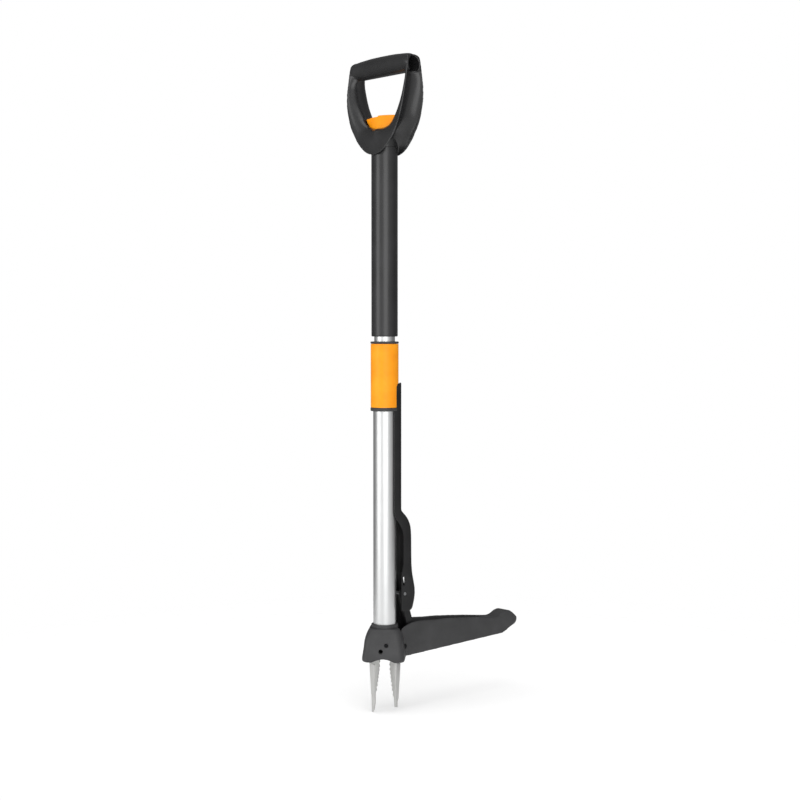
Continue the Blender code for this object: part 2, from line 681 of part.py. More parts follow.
def make_lock():
    button = button_outline("lock_button", 0.0, 0.0, False)
    bevel(button, 0.8)
    stem_top = BUTTON_TOP_Z - BUTTON_UNDER[-1][1] + 5
    stem = cylinder("button_stem", (0, 0, STEM_BOTTOM_Z), (0, 0, stem_top), STEM_R, 28, cutter=True)
    join(button, stem)
    socket_ends = ((0, 0, STEM_BOTTOM_Z - 5), (0, 0, ROD_SOCKET_Z))
    boolean(button, cylinder("rod_socket", *socket_ends, ROD_R + GAP, cutter=True))
    rod_bottom = WEDGE_BOTTOM_Z + WEDGE_SOCKET
    cylinder("lock_rod", (0, 0, rod_bottom), (0, 0, ROD_SOCKET_Z - GAP), ROD_R)

    low = SPRING_WELL_Z + GAP + SPRING_WIRE_R
    high = STEM_BOTTOM_Z - GAP - SPRING_WIRE_R
    coil = bpy.data.curves.new("button_spring", "CURVE")
    coil.dimensions = "3D"
    coil.bevel_depth = SPRING_WIRE_R * MM
    coil.bevel_resolution = 1
    coil.use_fill_caps = True
    count = SPRING_TURNS * 12
    spline = coil.splines.new("POLY")
    spline.points.add(count)
    for i, point in enumerate(spline.points):
        angle = math.tau * SPRING_TURNS * i / count
        height = low + (high - low) * i / count
        place = (SPRING_R * math.cos(angle), SPRING_R * math.sin(angle), height)
        point.co = (*vector(place), 1.0)
    guide = bpy.data.objects.new("spring_guide", coil)
    CUTTERS.objects.link(guide)
    graph = bpy.context.evaluated_depsgraph_get()
    mesh = bpy.data.meshes.new_from_object(guide.evaluated_get(graph))
    bpy.data.objects.remove(guide)
    work = bmesh.new()
    work.from_mesh(mesh)
    bmesh.ops.remove_doubles(work, verts=work.verts, dist=0.000001)
    put("button_spring", mesh_from("button_spring", work))
    print("least gap between spring turns, mm:", (high - low) / SPRING_TURNS - 2 * SPRING_WIRE_R)

    collet_r = TUBE_BORE - GAP
    neck_r = INNER_BORE - GAP
    throat = ROD_R + COLLET_THROAT_FIT
    mouth = throat + COLLET_FLARE
    seat_z = INNER_BOTTOM_Z - GAP
    collet = turned(
        "lock_collet",
        [
            (neck_r, COLLET_TOP_Z),
            (neck_r, seat_z),
            (collet_r, seat_z),
            (collet_r, COLLET_BOTTOM_Z),
            (mouth, COLLET_BOTTOM_Z),
            (throat, seat_z),
            (throat, COLLET_TOP_Z),
        ],
        closed=True,
        segments=28,
    )
    for i in range(2):
        cut = box(
            f"collet_slot_{i}",
            (-30, -COLLET_SLOT / 2, COLLET_BOTTOM_Z - 5),
            (30, COLLET_SLOT / 2, seat_z - 2),
            cutter=True,
            turn=math.radians(45 + 90 * i),
        )
        boolean(collet, cut)
    wedge = turned(
        "lock_wedge",
        [
            (0, COLLET_BOTTOM_Z + WEDGE_TOP),
            (mouth - WEDGE_NARROW, COLLET_BOTTOM_Z + WEDGE_TOP),
            (mouth - WEDGE_FIT, COLLET_BOTTOM_Z - 1.0),
            (mouth - WEDGE_FIT, WEDGE_BOTTOM_Z),
            (0, WEDGE_BOTTOM_Z),
        ],
        segments=32,
    )
    socket = cylinder(
        "wedge_socket",
        (0, 0, rod_bottom - GAP),
        (0, 0, COLLET_BOTTOM_Z + WEDGE_TOP + 4),
        ROD_R + GAP,
        cutter=True,
    )
    boolean(wedge, socket)


# Ejector sleeve, rod and link
def channel_ring(z, front, back, half, corner, wall):
    """The rod's channel section at one height, open towards the tube."""
    corner = min(corner, back - front - 1.0)
    outer = [(front, half)] + arc((back - corner, half - corner), corner, 90, 0, 6)
    outer += [(x, -y) for x, y in reversed(outer)]
    inner_corner = corner - wall
    inner = [(front, half - wall)] + arc((back - corner, half - corner), inner_corner, 90, 0, 6)
    inner += [(x, -y) for x, y in reversed(inner)]
    return [(x, y, z) for x, y in outer + list(reversed(inner))]


def solid_channel_ring(z, front, back, half, corner):
    outer = [(front, half)] + arc((back - corner, half - corner), corner, 90, 0, 6)
    outer += [(x, -y) for x, y in reversed(outer)]
    return [(x, y, z) for x, y in outer]


def make_ejector():
    front, back = ROD_SECTIONS[-1][1:]
    room_bottom = SLEEVE_BOTTOM_Z - BOTTOM_RING_HEIGHT - 25
    around = [
        solid_channel_ring(z, front - GAP, back + GAP, ROD_HALF_WIDTH + GAP, ROD_CORNER_R + GAP)
        for z in (room_bottom, ROD_TOP_Z + GAP)
    ]
    room = loft("rod_room", around, cutter=True)
    ring_room = loft("rod_room_through_ring", around, cutter=True)
    inner_front, inner_back = front - 6, back - ROD_WALL - GAP
    core = loft(
        "sleeve_core",
        [
            solid_channel_ring(
                z,
                inner_front,
                inner_back,
                ROD_HALF_WIDTH - ROD_WALL - GAP,
                ROD_CORNER_R - ROD_WALL - GAP,
            )
            for z in (room_bottom + 5, ROD_TOP_Z + 10)
        ],
        cutter=True,
    )
    boolean(room, core)
    sleeve = tube("ejector_sleeve", SLEEVE_R, SLEEVE_BORE, SLEEVE_BOTTOM_Z, SLEEVE_TOP_Z, 0.8)
    boolean(sleeve, room)
    top = SLEEVE_TOP_Z + GAP
    tube("sleeve_top_ring", RING_R, TUBE_R + GAP, top, top + TOP_RING_HEIGHT, 0.8)
    bottom = SLEEVE_BOTTOM_Z - GAP
    ring = tube("sleeve_bottom_ring", RING_R, SLEEVE_BORE, bottom - BOTTOM_RING_HEIGHT, bottom, 0.8)
    boolean(ring, ring_room)

    rod = loft(
        "ejector_rod",
        [channel_ring(*section, ROD_HALF_WIDTH, ROD_CORNER_R, ROD_WALL) for section in ROD_SECTIONS],
    )
    boolean(rod, across("link_top_hole", *LINK_TOP, 30, LINK_PIN_R + GAP, True))
    slot = box(
        "rod_side_slot",
        (ROD_SLOT_X - ROD_SLOT_WIDTH / 2, -30, ROD_SLOT_Z[0]),
        (ROD_SLOT_X + ROD_SLOT_WIDTH / 2, 30, ROD_SLOT_Z[1]),
        cutter=True,
    )
    boolean(rod, slot)
    for side, name in ((1, "left"), (-1, "right")):
        ys = sorted(side * y for y in ROD_WINDOW_Y)
        window = box(
            f"rod_window_{name}",
            (ROD_BACK_X + 12, ys[0], ROD_SLOT_Z[0] - 2),
            (ROD_BACK_X + 40, ys[1], ROD_SLOT_Z[1] + 2),
            cutter=True,
        )
        boolean(rod, window)
    shank_end = SLEEVE_BORE + 0.4
    hole = cylinder(
        "rod_screw_hole",
        (shank_end - 2, 0, ROD_SCREW_Z),
        (back + 5, 0, ROD_SCREW_Z),
        SCREW_R + GAP,
        cutter=True,
    )
    boolean(rod, hole)
    boolean(sleeve, hole)
    screw("rod_screw", (back + GAP, 0, ROD_SCREW_Z), (1, 0, 0), back + GAP - shank_end)
    across("link_pin_top", *LINK_TOP, ROD_HALF_WIDTH - 0.2, LINK_PIN_R)

    make_link()


def screw(name, under_head, outward, length):
    """A pan-head screw with a cross recess. Its head stands on the point and looks outward."""
    point = Vector(under_head)
    outward = Vector(outward).normalized()
    overlap = outward * 0.4
    head_top = point + outward * SCREW_HEAD_HEIGHT
    obj = cylinder(name, point, head_top, SCREW_HEAD_R, 20, SCREW_HEAD_R - 0.7)
    shank = cylinder(name + "_shank", point - outward * length, point + overlap, SCREW_R, 16, cutter=True)
    join(obj, shank)
    turn = outward.to_track_quat("Z", "Y").to_matrix().to_4x4()
    for i, (a, b) in enumerate(((1.7, 0.35), (0.35, 1.7))):
        work = bmesh.new()
        place = Matrix.Translation(vector(head_top)) @ turn
        size = Matrix.Diagonal((2 * a * MM, 2 * b * MM, 1.6 * MM, 1.0))
        bmesh.ops.create_cube(work, size=1.0, matrix=place @ size)
        recess = put(f"{name}_recess_{i}", mesh_from(name, work), True)
        boolean(obj, recess)
    return obj


def make_link():
    top, foot = Vector(LINK_TOP), Vector(LINK_FOOT)
    half = half_width(LINK_FOOT[0]) - PEDAL_WALL - LINK_PLAY
    along = (top - foot).normalized()
    angle = math.degrees(math.atan2(along.y, along.x))
    outline = arc(top, LINK_END_R, angle - 90, angle + 90, 10)
    outline += arc(foot, LINK_END_R, angle + 90, angle + 270, 10)
    link = plate("ejector_link", [outline], 2 * half, SIDE_ON)
    # The channel between the two plates, which leaves a web on the pedal side
    side = Vector((along.y, -along.x))
    near, far = LINK_END_R - LINK_WALL, -LINK_END_R - 2
    ends = (top + along * 12, foot - along * 12)
    hollow = [ends[0] + side * near, ends[0] + side * far, ends[1] + side * far, ends[1] + side * near]
    boolean(link, plate("link_hollow", [hollow], 2 * (half - LINK_WALL), SIDE_ON, True))
    for name, end, outward in (("top", top, along), ("foot", foot, -along)):
        start, finish = end - outward, end + outward * 2 * LINK_END_R
        trim = [start, finish, finish + side * 1.5 * LINK_END_R, start + side * 1.5 * LINK_END_R]
        boolean(link, plate(f"link_trim_{name}", [trim], 2 * (half - LINK_WALL), SIDE_ON, True))
    boolean(link, across("link_hole_top", *LINK_TOP, 30, LINK_PIN_R + GAP, True))
    boolean(link, across("link_hole_foot", *LINK_FOOT, 30, LINK_PIN_R + LOOSE, True))


# Pedal housing
def half_width(x):
    """Half the pedal's width at a distance from the shaft."""
    share = (x - PEDAL_HEAD_X) / (PEDAL_PAD_X - PEDAL_HEAD_X)
    return PEDAL_HALF_AT_HEAD + (PEDAL_HALF_AT_PAD - PEDAL_HALF_AT_HEAD) * share


def bell_ring(z, apothem, corner):
    """A rounded square with its corners on the X and Y axes."""
    ring = []
    reach = (apothem - corner) * math.sqrt(2)
    for quarter in range(4):
        centre = math.radians(90 * quarter)
        middle = (reach * math.cos(centre), reach * math.sin(centre))
        for x, y in arc(middle, corner, 90 * quarter - 45, 90 * quarter + 45, 6):
            ring.append((x, y, z))
    return ring


def bell_apothem(z):
    levels = BELL_LEVELS
    for (z0, a0), (z1, a1) in zip(levels, levels[1:]):
        if z <= z1:
            return a0 + (a1 - a0) * (z - z0) / (z1 - z0)
    return levels[-1][1]


def bell_inside(name, inset, bottom, top):
    """The room inside the bell, or a body that fits it when given a larger inset."""
    heights = [bottom] + [z for z, _ in BELL_LEVELS if bottom < z < top] + [top]
    corner = BELL_CORNER_R - inset
    rings = [bell_ring(z, bell_apothem(max(z, BELL_LEVELS[1][0])) - inset, corner) for z in heights]
    return loft(name, rings, cutter=True)


def make_pedal():
    rim_r = COLLAR_R + COLLAR_ROOM
    housing = plate("pedal_housing", [[*PEDAL_BOTTOM, *PEDAL_TOP]], 60, SIDE_ON)
    side = [(x, half_width(x)) for x in (0.0, PEDAL_PAD_X)]
    side += [(PEDAL_TIP_X - x, PEDAL_HALF_AT_PAD - narrower) for x, narrower in PEDAL_TIP_PLAN]
    plan = side + [(x, -y) for x, y in reversed(side)]
    lift = Matrix.Translation(vector((0, 0, 100)))
    keep(housing, plate("pedal_plan", [plan], 100, lift, True))
    bevel(housing, PEDAL_EDGE, 2)
    rings = [bell_ring(z, a, BELL_CORNER_R) for z, a in BELL_LEVELS]
    join(housing, loft("bell_body", rings, cutter=True))
    boolean(housing, bell_inside("bell_room", BELL_WALL, BELL_LEVELS[0][0] - 8, BELL_ROOM_TOP_Z))

    floor = [(x, z + PEDAL_FLOOR) for x, z in PEDAL_BOTTOM[1:]]
    start, end = PEDAL_CHANNEL_X, PEDAL_CHANNEL_END
    end_z = line_at(floor, end)
    channel_side = [(start, floor[0][1]), floor[0], (end - 6, line_at(floor, end - 6))]
    channel_side += [(end - 1.5, end_z + 3.5), (end, end_z + 8), (end, 150), (start, 150)]
    channel = plate("pedal_channel", [channel_side], 60, SIDE_ON, True)
    walls = [(x, half_width(x) - PEDAL_WALL) for x in (0.0, end + 5)]
    room = walls + [(x, -y) for x, y in reversed(walls)]
    keep(channel, plate("channel_plan", [room], 100, lift, True))
    boolean(housing, channel)

    rim = arc((LEAN_ROOM, 0), rim_r, -90, 90, 16) + arc((0, 0), rim_r, 90, 270, 16)
    lean_lift = Matrix.Translation(vector((0, 0, LEAN_BOTTOM_Z + 25)))
    boolean(housing, plate("rim_room", [rim], 50, lean_lift, True))

    outer_half = half_width(PIVOT[0]) - PEDAL_WALL / 2
    for sign, name in ((1, "left"), (-1, "right")):
        boss = cylinder(
            f"pivot_boss_{name}",
            (PIVOT[0], sign * (FOOT_HALF_WIDTH + LOOSE), PIVOT[1]),
            (PIVOT[0], sign * outer_half, PIVOT[1]),
            BOSS_R,
            28,
            cutter=True,
        )
        join(housing, boss)
        socket = cylinder(
            f"link_socket_{name}",
            (LINK_FOOT[0], 0, LINK_FOOT[1]),
            (LINK_FOOT[0], sign * (link_pin_half() + GAP), LINK_FOOT[1]),
            LINK_PIN_R + GAP,
            cutter=True,
        )
        boolean(housing, socket)
    boolean(housing, bpy.data.objects["pivot_hole"])
    across("pivot_pin", *PIVOT, half_width(PIVOT[0]) - 0.4, PIVOT_R)
    across("link_pin_foot", *LINK_FOOT, link_pin_half(), LINK_PIN_R)

    drop = ARCH_TOP_Z - BELL_LEVELS[0][0]
    arch_r = (ARCH_HALF_WIDTH**2 + drop**2) / (2 * drop)
    arches = []
    for i, angle in enumerate(DIAGONALS):
        way = (60 * math.cos(angle), 60 * math.sin(angle))
        z = ARCH_TOP_Z - arch_r
        arch = cylinder(f"arch_{i}", (way[0], way[1], z), (-way[0], -way[1], z), arch_r, 48, cutter=True)
        arches.append(arch)
        boolean(housing, arch)
    for i, angle in enumerate(DIAGONALS):
        hole = face_drill(f"face_hole_{i}", angle, FACE_HOLE_SHIFT, FACE_HOLE_Z, FACE_HOLE_R, 20, 40)
        boolean(housing, hole)
    return housing, arches


def line_at(points, x):
    (x0, z0), (x1, z1) = points
    return z0 + (z1 - z0) * (x - x0) / (x1 - x0)


def link_pin_half():
    """The lower link pin ends inside blind sockets in the pedal's walls."""
    return half_width(LINK_FOOT[0]) - PEDAL_WALL + 1.4


def face_point(angle, shift, distance, z):
    """A point on or under one of the bell's flats, shifted along the flat."""
    outward = Vector((math.cos(angle), math.sin(angle), 0.0))
    sideways = Vector((-outward.y, outward.x, 0.0)) * (1 if outward.y < 0 else -1)
    return outward * distance + sideways * shift + Vector((0.0, 0.0, z))


def face_drill(name, angle, shift, z, radius, start, end):
    first = face_point(angle, shift, start, z)
    last = face_point(angle, shift, end, z)
    return cylinder(name, first, last, radius, cutter=True)


# Claw carrier, claws and plunger
def make_carrier(housing, arches):
    inset = BELL_WALL + SLOT_PLAY
    carrier = bell_inside("carrier_body", inset, CARRIER_BOTTOM_Z, CARRIER_TOP_Z)
    carrier.name = "claw_carrier"
    CUTTERS.objects.unlink(carrier)
    PARTS.objects.link(carrier)
    carrier.hide_render = False
    carrier.display_type = "TEXTURED"
    for i, angle in enumerate(DIAGONALS):
        leg = box(
            f"carrier_leg_{i}",
            (LEG_INNER, -LEG_HALF_WIDTH, CARRIER_TOP_Z - 2),
            (45, LEG_HALF_WIDTH, LEG_TOP_Z),
            cutter=True,
            turn=angle,
        )
        keep(leg, bell_inside(f"leg_room_{i}", inset, CARRIER_BOTTOM_Z, LEG_TOP_Z + 2))
        join(carrier, leg)
    bore = cylinder("carrier_bore", (0, 0, 60), (0, 0, 100), CARRIER_BORE_R, 40, cutter=True)
    boolean(carrier, bore)
    slot_half = CLAW_THICK / 2 + SLOT_PLAY
    reach = CLAW_PIVOT_R + CLAW_EAR_R + 1.2
    for name, low, high in (
        ("x", (-reach, -slot_half, 60), (reach, slot_half, 100)),
        ("y", (-slot_half, -reach, 60), (slot_half, reach, 100)),
    ):
        boolean(carrier, box(f"carrier_slot_{name}", low, high, cutter=True))
    for arch in arches:
        boolean(carrier, arch)
    for i, angle in enumerate(DIAGONALS):
        wall = bell_apothem(CARRIER_SCREW_Z)
        place = (angle, CARRIER_SCREW_SHIFT)
        seat_at = wall - CARRIER_SCREW_SINK
        shank_end = LEG_INNER + CARRIER_SCREW_SHORT
        hole_r = SCREW_R + GAP
        hole = face_drill(f"carrier_screw_hole_{i}", *place, CARRIER_SCREW_Z, hole_r, LEG_INNER - 1, 40)
        boolean(carrier, hole)
        boolean(housing, hole)
        head = face_drill(f"screw_head_room_{i}", *place, CARRIER_SCREW_Z, SCREW_HEAD_R + GAP, seat_at, 40)
        boolean(housing, head)
        outward = (math.cos(angle), math.sin(angle), 0)
        under = face_point(*place, seat_at + GAP, CARRIER_SCREW_Z)
        screw(f"carrier_screw_{i + 1}", under, outward, seat_at + GAP - shank_end)
    return carrier


def toothed_edge(points):
    """The claw's inner edge from top to tip, broken into saw teeth."""
    out = [points[0]]
    for (r0, z0), (r1, z1) in zip(points, points[1:]):
        length = math.hypot(r1 - r0, z1 - z0)
        count = max(1, round(length / CLAW_TOOTH_PITCH))
        for i in range(count):
            share = (i + 0.75) / count
            end = (i + 1) / count
            out.append((r0 + (r1 - r0) * share - CLAW_TOOTH, z0 + (z1 - z0) * share))
            out.append((r0 + (r1 - r0) * end, z0 + (z1 - z0) * end))
    return out


def claw_outline(tip_z):
    """The claw's flat side: radius from the shaft axis and height."""
    def lifted(z):
        top = CLAW_PIVOT_Z - 8
        return top - (top - z) * (top - tip_z) / top

    inner = [(13.7, 76.0), (14.7, 60.0), (16.9, 47.0), (19.2, 34.0), (22.3, 18.0)]
    inner = toothed_edge([(r, lifted(z)) for r, z in inner])
    outline = inner + [(23.4, lifted(5.0)), (CLAW_TIP_R - 0.5, lifted(0.0)), (CLAW_TIP_R, lifted(1.0))]
    outline += [(CLAW_TOP_R, CLAW_PIVOT_Z - 9), (CLAW_TOP_R + 2.0, CLAW_PIVOT_Z - CLAW_EAR_R)]
    pivot = (CLAW_PIVOT_R, CLAW_PIVOT_Z)
    outline += arc(pivot, CLAW_EAR_R, -75, 105, 10)
    outline += [(CLAW_ARM_R + 5, CLAW_PIVOT_Z + CLAW_NUB_R)]
    outline += arc((CLAW_ARM_R, CLAW_PIVOT_Z), CLAW_NUB_R, 90, 270, 8)
    outline += [(CLAW_ARM_R + 5, CLAW_PIVOT_Z - CLAW_NUB_R), (14.6, CLAW_PIVOT_Z - 4.0)]
    return outline, lifted


def make_claws(carrier):
    pins = (
        ("rear", 0, 0.0),
        ("left", 90, SIDE_CLAW_LIFT),
        ("front", 180, 0.0),
        ("right", 270, SIDE_CLAW_LIFT),
    )
    for name, degrees, tip_z in pins:
        angle = math.radians(degrees)
        turn = Matrix.Rotation(angle, 4, "Z")
        outline, lifted = claw_outline(tip_z)
        hole = arc((CLAW_PIVOT_R, CLAW_PIVOT_Z), CLAW_PIN_R + GAP, 0, 360 - 360 / 16, 15)
        claw = plate(f"claw_{name}", [outline, hole], CLAW_THICK, turn @ SIDE_ON)
        rings = []
        half = CLAW_THICK / 2
        for z, wide in ((0.6, 1.4), (5.0, 3.6), (15.0, CLAW_FLANGE_TIP), (74.0, CLAW_FLANGE_TOP)):
            height = lifted(z)
            outer = CLAW_TIP_R + (CLAW_TOP_R - CLAW_TIP_R) * (z - 1) / 74
            inner = outer - CLAW_THICK
            ring = [(inner, 0.0), (outer, 0.0), (outer, wide), (inner, wide)]
            if z < 5:
                ring = [(outer - 0.9, 0.0), (outer, 0.0), (outer, wide), (outer - 0.9, wide)]
            rings.append([turn @ Vector((x, y + (half * 0.5 if y == 0 else 0), height)) for x, y in ring])
        join(claw, loft(f"claw_flange_{name}", rings, cutter=True))
        way = Vector((-math.sin(angle), math.cos(angle), 0))
        out = Vector((math.cos(angle), math.sin(angle), 0)) * CLAW_PIVOT_R + Vector((0, 0, CLAW_PIVOT_Z))
        seat(claw, *out)
        seat_ends = (out - way * CLAW_PIN_LENGTH / 2, out + way * CLAW_PIN_LENGTH / 2)
        cylinder(f"claw_pin_{name}", *seat_ends, CLAW_PIN_R)
        room_ends = (out - way * (CLAW_PIN_LENGTH / 2 + GAP), out + way * (CLAW_PIN_LENGTH / 2 + GAP))
        boolean(carrier, cylinder(f"claw_pin_room_{name}", *room_ends, CLAW_PIN_R + GAP, cutter=True))

    groove_top = CLAW_PIVOT_Z + GROOVE_HALF
    groove_bottom = CLAW_PIVOT_Z - GROOVE_HALF
    plunger = turned(
        "plunger",
        [
            (0, groove_top + FLANGE_THICK),
            (PLUNGER_R, groove_top + FLANGE_THICK),
            (PLUNGER_R, groove_top),
            (PLUNGER_CORE_R, groove_top),
            (PLUNGER_CORE_R, groove_bottom),
            (PLUNGER_R, groove_bottom),
            (PLUNGER_R, PLUNGER_BOTTOM_Z),
            (0, PLUNGER_BOTTOM_Z),
        ],
        segments=28,
    )
    tongue = box(
        "plunger_tongue",
        (-TONGUE_HALF_X, -TONGUE_HALF_Y, groove_top + 0.5),
        (TONGUE_HALF_X, TONGUE_HALF_Y, TONGUE_TOP_Z),
        cutter=True,
    )
    join(plunger, tongue)
    eye_r = PLUNGER_PIN_R + GAP
    eye = arc((1.0, PIVOT[1]), eye_r, -90, 90, 10) + arc((-1.0, PIVOT[1]), eye_r, 90, 270, 10)
    boolean(plunger, plate("plunger_eye", [eye], 20, SIDE_ON, True))


# Materials
CHARCOAL = ("3A3A3B", 0.5, 0.0)
ORANGE = ("F7941E", 0.42, 0.0)
ALUMINIUM = ("D6D7D8", 0.32, 1.0)
STAINLESS = ("C3C4C4", 0.35, 1.0)
STEEL = ("A9ABAD", 0.4, 1.0)
FINISHES = {
    "d_handle": CHARCOAL,
    "upper_tube": ("464647", 0.38, 0.0),
    "end_bush": CHARCOAL,
    "inner_tube": ALUMINIUM,
    "lower_tube": ALUMINIUM,
    "lock_button": ORANGE,
    "lock_rod": STEEL,
    "lock_wedge": CHARCOAL,
    "lock_collet": ("E8E6DF", 0.5, 0.0),
    "button_spring": STEEL,
    "ejector_sleeve": ORANGE,
    "sleeve_top_ring": CHARCOAL,
    "sleeve_bottom_ring": CHARCOAL,
    "ejector_rod": ("2C2C2D", 0.5, 0.0),
    "ejector_link": ("2C2C2D", 0.5, 0.0),
    "shaft_foot": CHARCOAL,
    "pedal_housing": CHARCOAL,
    "claw_carrier": ("2C2C2D", 0.55, 0.0),
    "plunger": ("2C2C2D", 0.55, 0.0),
    "claw_front": STAINLESS,
    "claw_rear": STAINLESS,
    "claw_left": STAINLESS,
    "claw_right": STAINLESS,
}


def linear(value):
    return value / 12.92 if value <= 0.04045 else ((value + 0.055) / 1.055) ** 2.4


def paint():
    for obj in PARTS.objects:
        if obj.type != "MESH":
            continue
        colour, roughness, metallic = FINISHES.get(obj.name, STEEL)
        material = bpy.data.materials.new(obj.name)
        material.use_nodes = True
        shader = material.node_tree.nodes["Principled BSDF"]
        rgb = [linear(int(colour[i : i + 2], 16) / 255) for i in (0, 2, 4)]
        shader.inputs["Base Color"].default_value = (*rgb, 1.0)
        shader.inputs["Roughness"].default_value = roughness
        shader.inputs["Metallic"].default_value = metallic
        obj.data.materials.clear()
        obj.data.materials.append(material)
        for polygon in obj.data.polygons:
            polygon.use_smooth = True
        obj.data.set_sharp_from_angle(angle=math.radians(32))


def main():
    make_shaft()
    make_handle()
    make_lock()
    make_ejector()
    housing, arches = make_pedal()
    carrier = make_carrier(housing, arches)
    make_claws(carrier)
    seat(housing, PIVOT[0], 0, PIVOT[1])
    seat(bpy.data.objects["ejector_link"], LINK_TOP[0], 0, LINK_TOP[1])
    paint()


main()
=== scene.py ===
# %% [markdown]
# # A long-handled weed puller
#
# The tool stands upright with its four claws down. This lesson dresses it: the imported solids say
# where every piece is, and each step below gives one piece its finished shape, or its finish.

# %% The frame
import math

import bmesh
import bpy
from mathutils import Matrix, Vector
from mathutils.kdtree import KDTree


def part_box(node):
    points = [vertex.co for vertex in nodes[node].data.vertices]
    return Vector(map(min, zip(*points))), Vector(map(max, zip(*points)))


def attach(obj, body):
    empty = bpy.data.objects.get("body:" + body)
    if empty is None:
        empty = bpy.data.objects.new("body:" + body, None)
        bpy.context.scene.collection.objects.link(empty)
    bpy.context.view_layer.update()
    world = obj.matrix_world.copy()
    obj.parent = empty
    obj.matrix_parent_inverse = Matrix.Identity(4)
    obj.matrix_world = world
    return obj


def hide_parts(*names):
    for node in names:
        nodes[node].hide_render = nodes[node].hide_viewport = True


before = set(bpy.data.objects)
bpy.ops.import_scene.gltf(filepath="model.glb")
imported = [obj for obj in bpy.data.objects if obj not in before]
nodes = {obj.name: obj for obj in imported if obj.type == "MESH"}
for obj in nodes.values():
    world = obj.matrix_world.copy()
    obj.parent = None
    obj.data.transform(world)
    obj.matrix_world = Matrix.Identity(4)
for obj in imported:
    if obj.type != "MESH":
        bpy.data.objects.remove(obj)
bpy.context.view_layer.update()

# %% [markdown]
# ## Where things are
#
# Everything on the tool is measured in millimetres from the shaft's own axis, with z = 0 at the
# lowest claw tips and the pedal towards +X. The axis itself is read from the lower tube's box.

# %% Places
MM = 0.001
tube_low, tube_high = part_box("lower_tube")
SHAFT_X = (tube_low.x + tube_high.x) / 2 / MM


def at(x, y, z):
    """A point of the tool, from millimetres to the scene's metres."""
    return Vector((SHAFT_X + x, y, z)) * MM


def span(node):
    """A CAD node's lowest and highest corner in the tool's millimetres."""
    low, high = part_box(node)
    shift = Vector((SHAFT_X, 0.0, 0.0))
    return low / MM - shift, high / MM - shift


print("shaft axis at x =", round(SHAFT_X, 2), "mm")

# %% [markdown]
# ## Colours and nodes
#
# Colours are chosen as sRGB hex values, as a colour picker shows them. A shader works in linear
# light, so one function turns them. Another adds a node with its settings and its links.


# %% Helpers for materials
def linear(code):
    """Linear RGBA from an sRGB hex code."""
    values = [int(code[i : i + 2], 16) / 255 for i in (0, 2, 4)]
    turned = [v / 12.92 if v <= 0.04045 else ((v + 0.055) / 1.055) ** 2.4 for v in values]
    return (*turned, 1.0)


def add(tree, kind, values=None, links=None, **settings):
    """A node with its properties, its input values and the sockets that feed it."""
    node = tree.nodes.new(kind)
    for key, value in settings.items():
        setattr(node, key, value)
    for key, value in (values or {}).items():
        node.inputs[key].default_value = value
    for key, socket in (links or {}).items():
        tree.links.new(socket, node.inputs[key])
    return node


def new_material(name, **shader_values):
    """A material with one Principled shader, and the object's own coordinates."""
    material = bpy.data.materials.new(name)
    material.use_nodes = True
    tree = material.node_tree
    shader = tree.nodes["Principled BSDF"]
    for key, value in shader_values.items():
        shader.inputs[key.replace("_", " ")].default_value = value
    place = add(tree, "ShaderNodeTexCoord")
    return material, tree, shader, place.outputs["Object"]


def ramp(tree, factor, *stops):
    """A colour ramp with stops of position and hex colour."""
    node = add(tree, "ShaderNodeValToRGB", links={"Fac": factor})
    points = node.color_ramp.elements
    while len(points) < len(stops):
        points.new(0.5)
    for point, (position, code) in zip(points, stops):
        point.position = position
        point.color = linear(code)
    return node.outputs["Color"]


def spread(tree, factor, low, high):
    """A noise value around one half, spread between two numbers."""
    node = add(tree, "ShaderNodeMapRange", {1: 0.3, 2: 0.7, 3: low, 4: high}, {0: factor})
    return node.outputs["Result"]


def per_mm(size):
    """The scale that gives a pattern this size in millimetres."""
    return 1.0 / (size * MM)


# %% [markdown]
# ## Moulded plastic
#
# The handle, the pedal and the sleeve are polypropylene, and the rod, the link and the hidden
# mouldings are nylon. A mould with a spark-eroded surface gives them a soft, wide sheen and a very
# fine grain, a little paler where the flow of the plastic has brought glass to the skin. The real
# grain is about 0.15 mm, too fine to show, so it is drawn at 0.7 mm. The handle's skin is smoother
# and glossier. Edges get a painted highlight, a touch paler, which the mesh's own pointiness finds.


# %% Moulded plastics
FLOW_SIZE = 28
FLOW_SHARE = 0.65
GRAIN_SHARE = 0.35
# Pointiness at which the painted edge highlight begins and ends, and how strongly it is painted
EDGE_HIGHLIGHT_FROM, EDGE_HIGHLIGHT_TO, EDGE_HIGHLIGHT_SHARE = 0.53, 0.62, 0.35


def bumped(tree, shader, pattern, strength, depth):
    """Raises the surface by a pattern, with its depth in millimetres."""
    bump = add(
        tree,
        "ShaderNodeBump",
        {"Strength": strength, "Distance": depth * MM},
        {"Height": pattern},
    )
    tree.links.new(bump.outputs["Normal"], shader.inputs["Normal"])


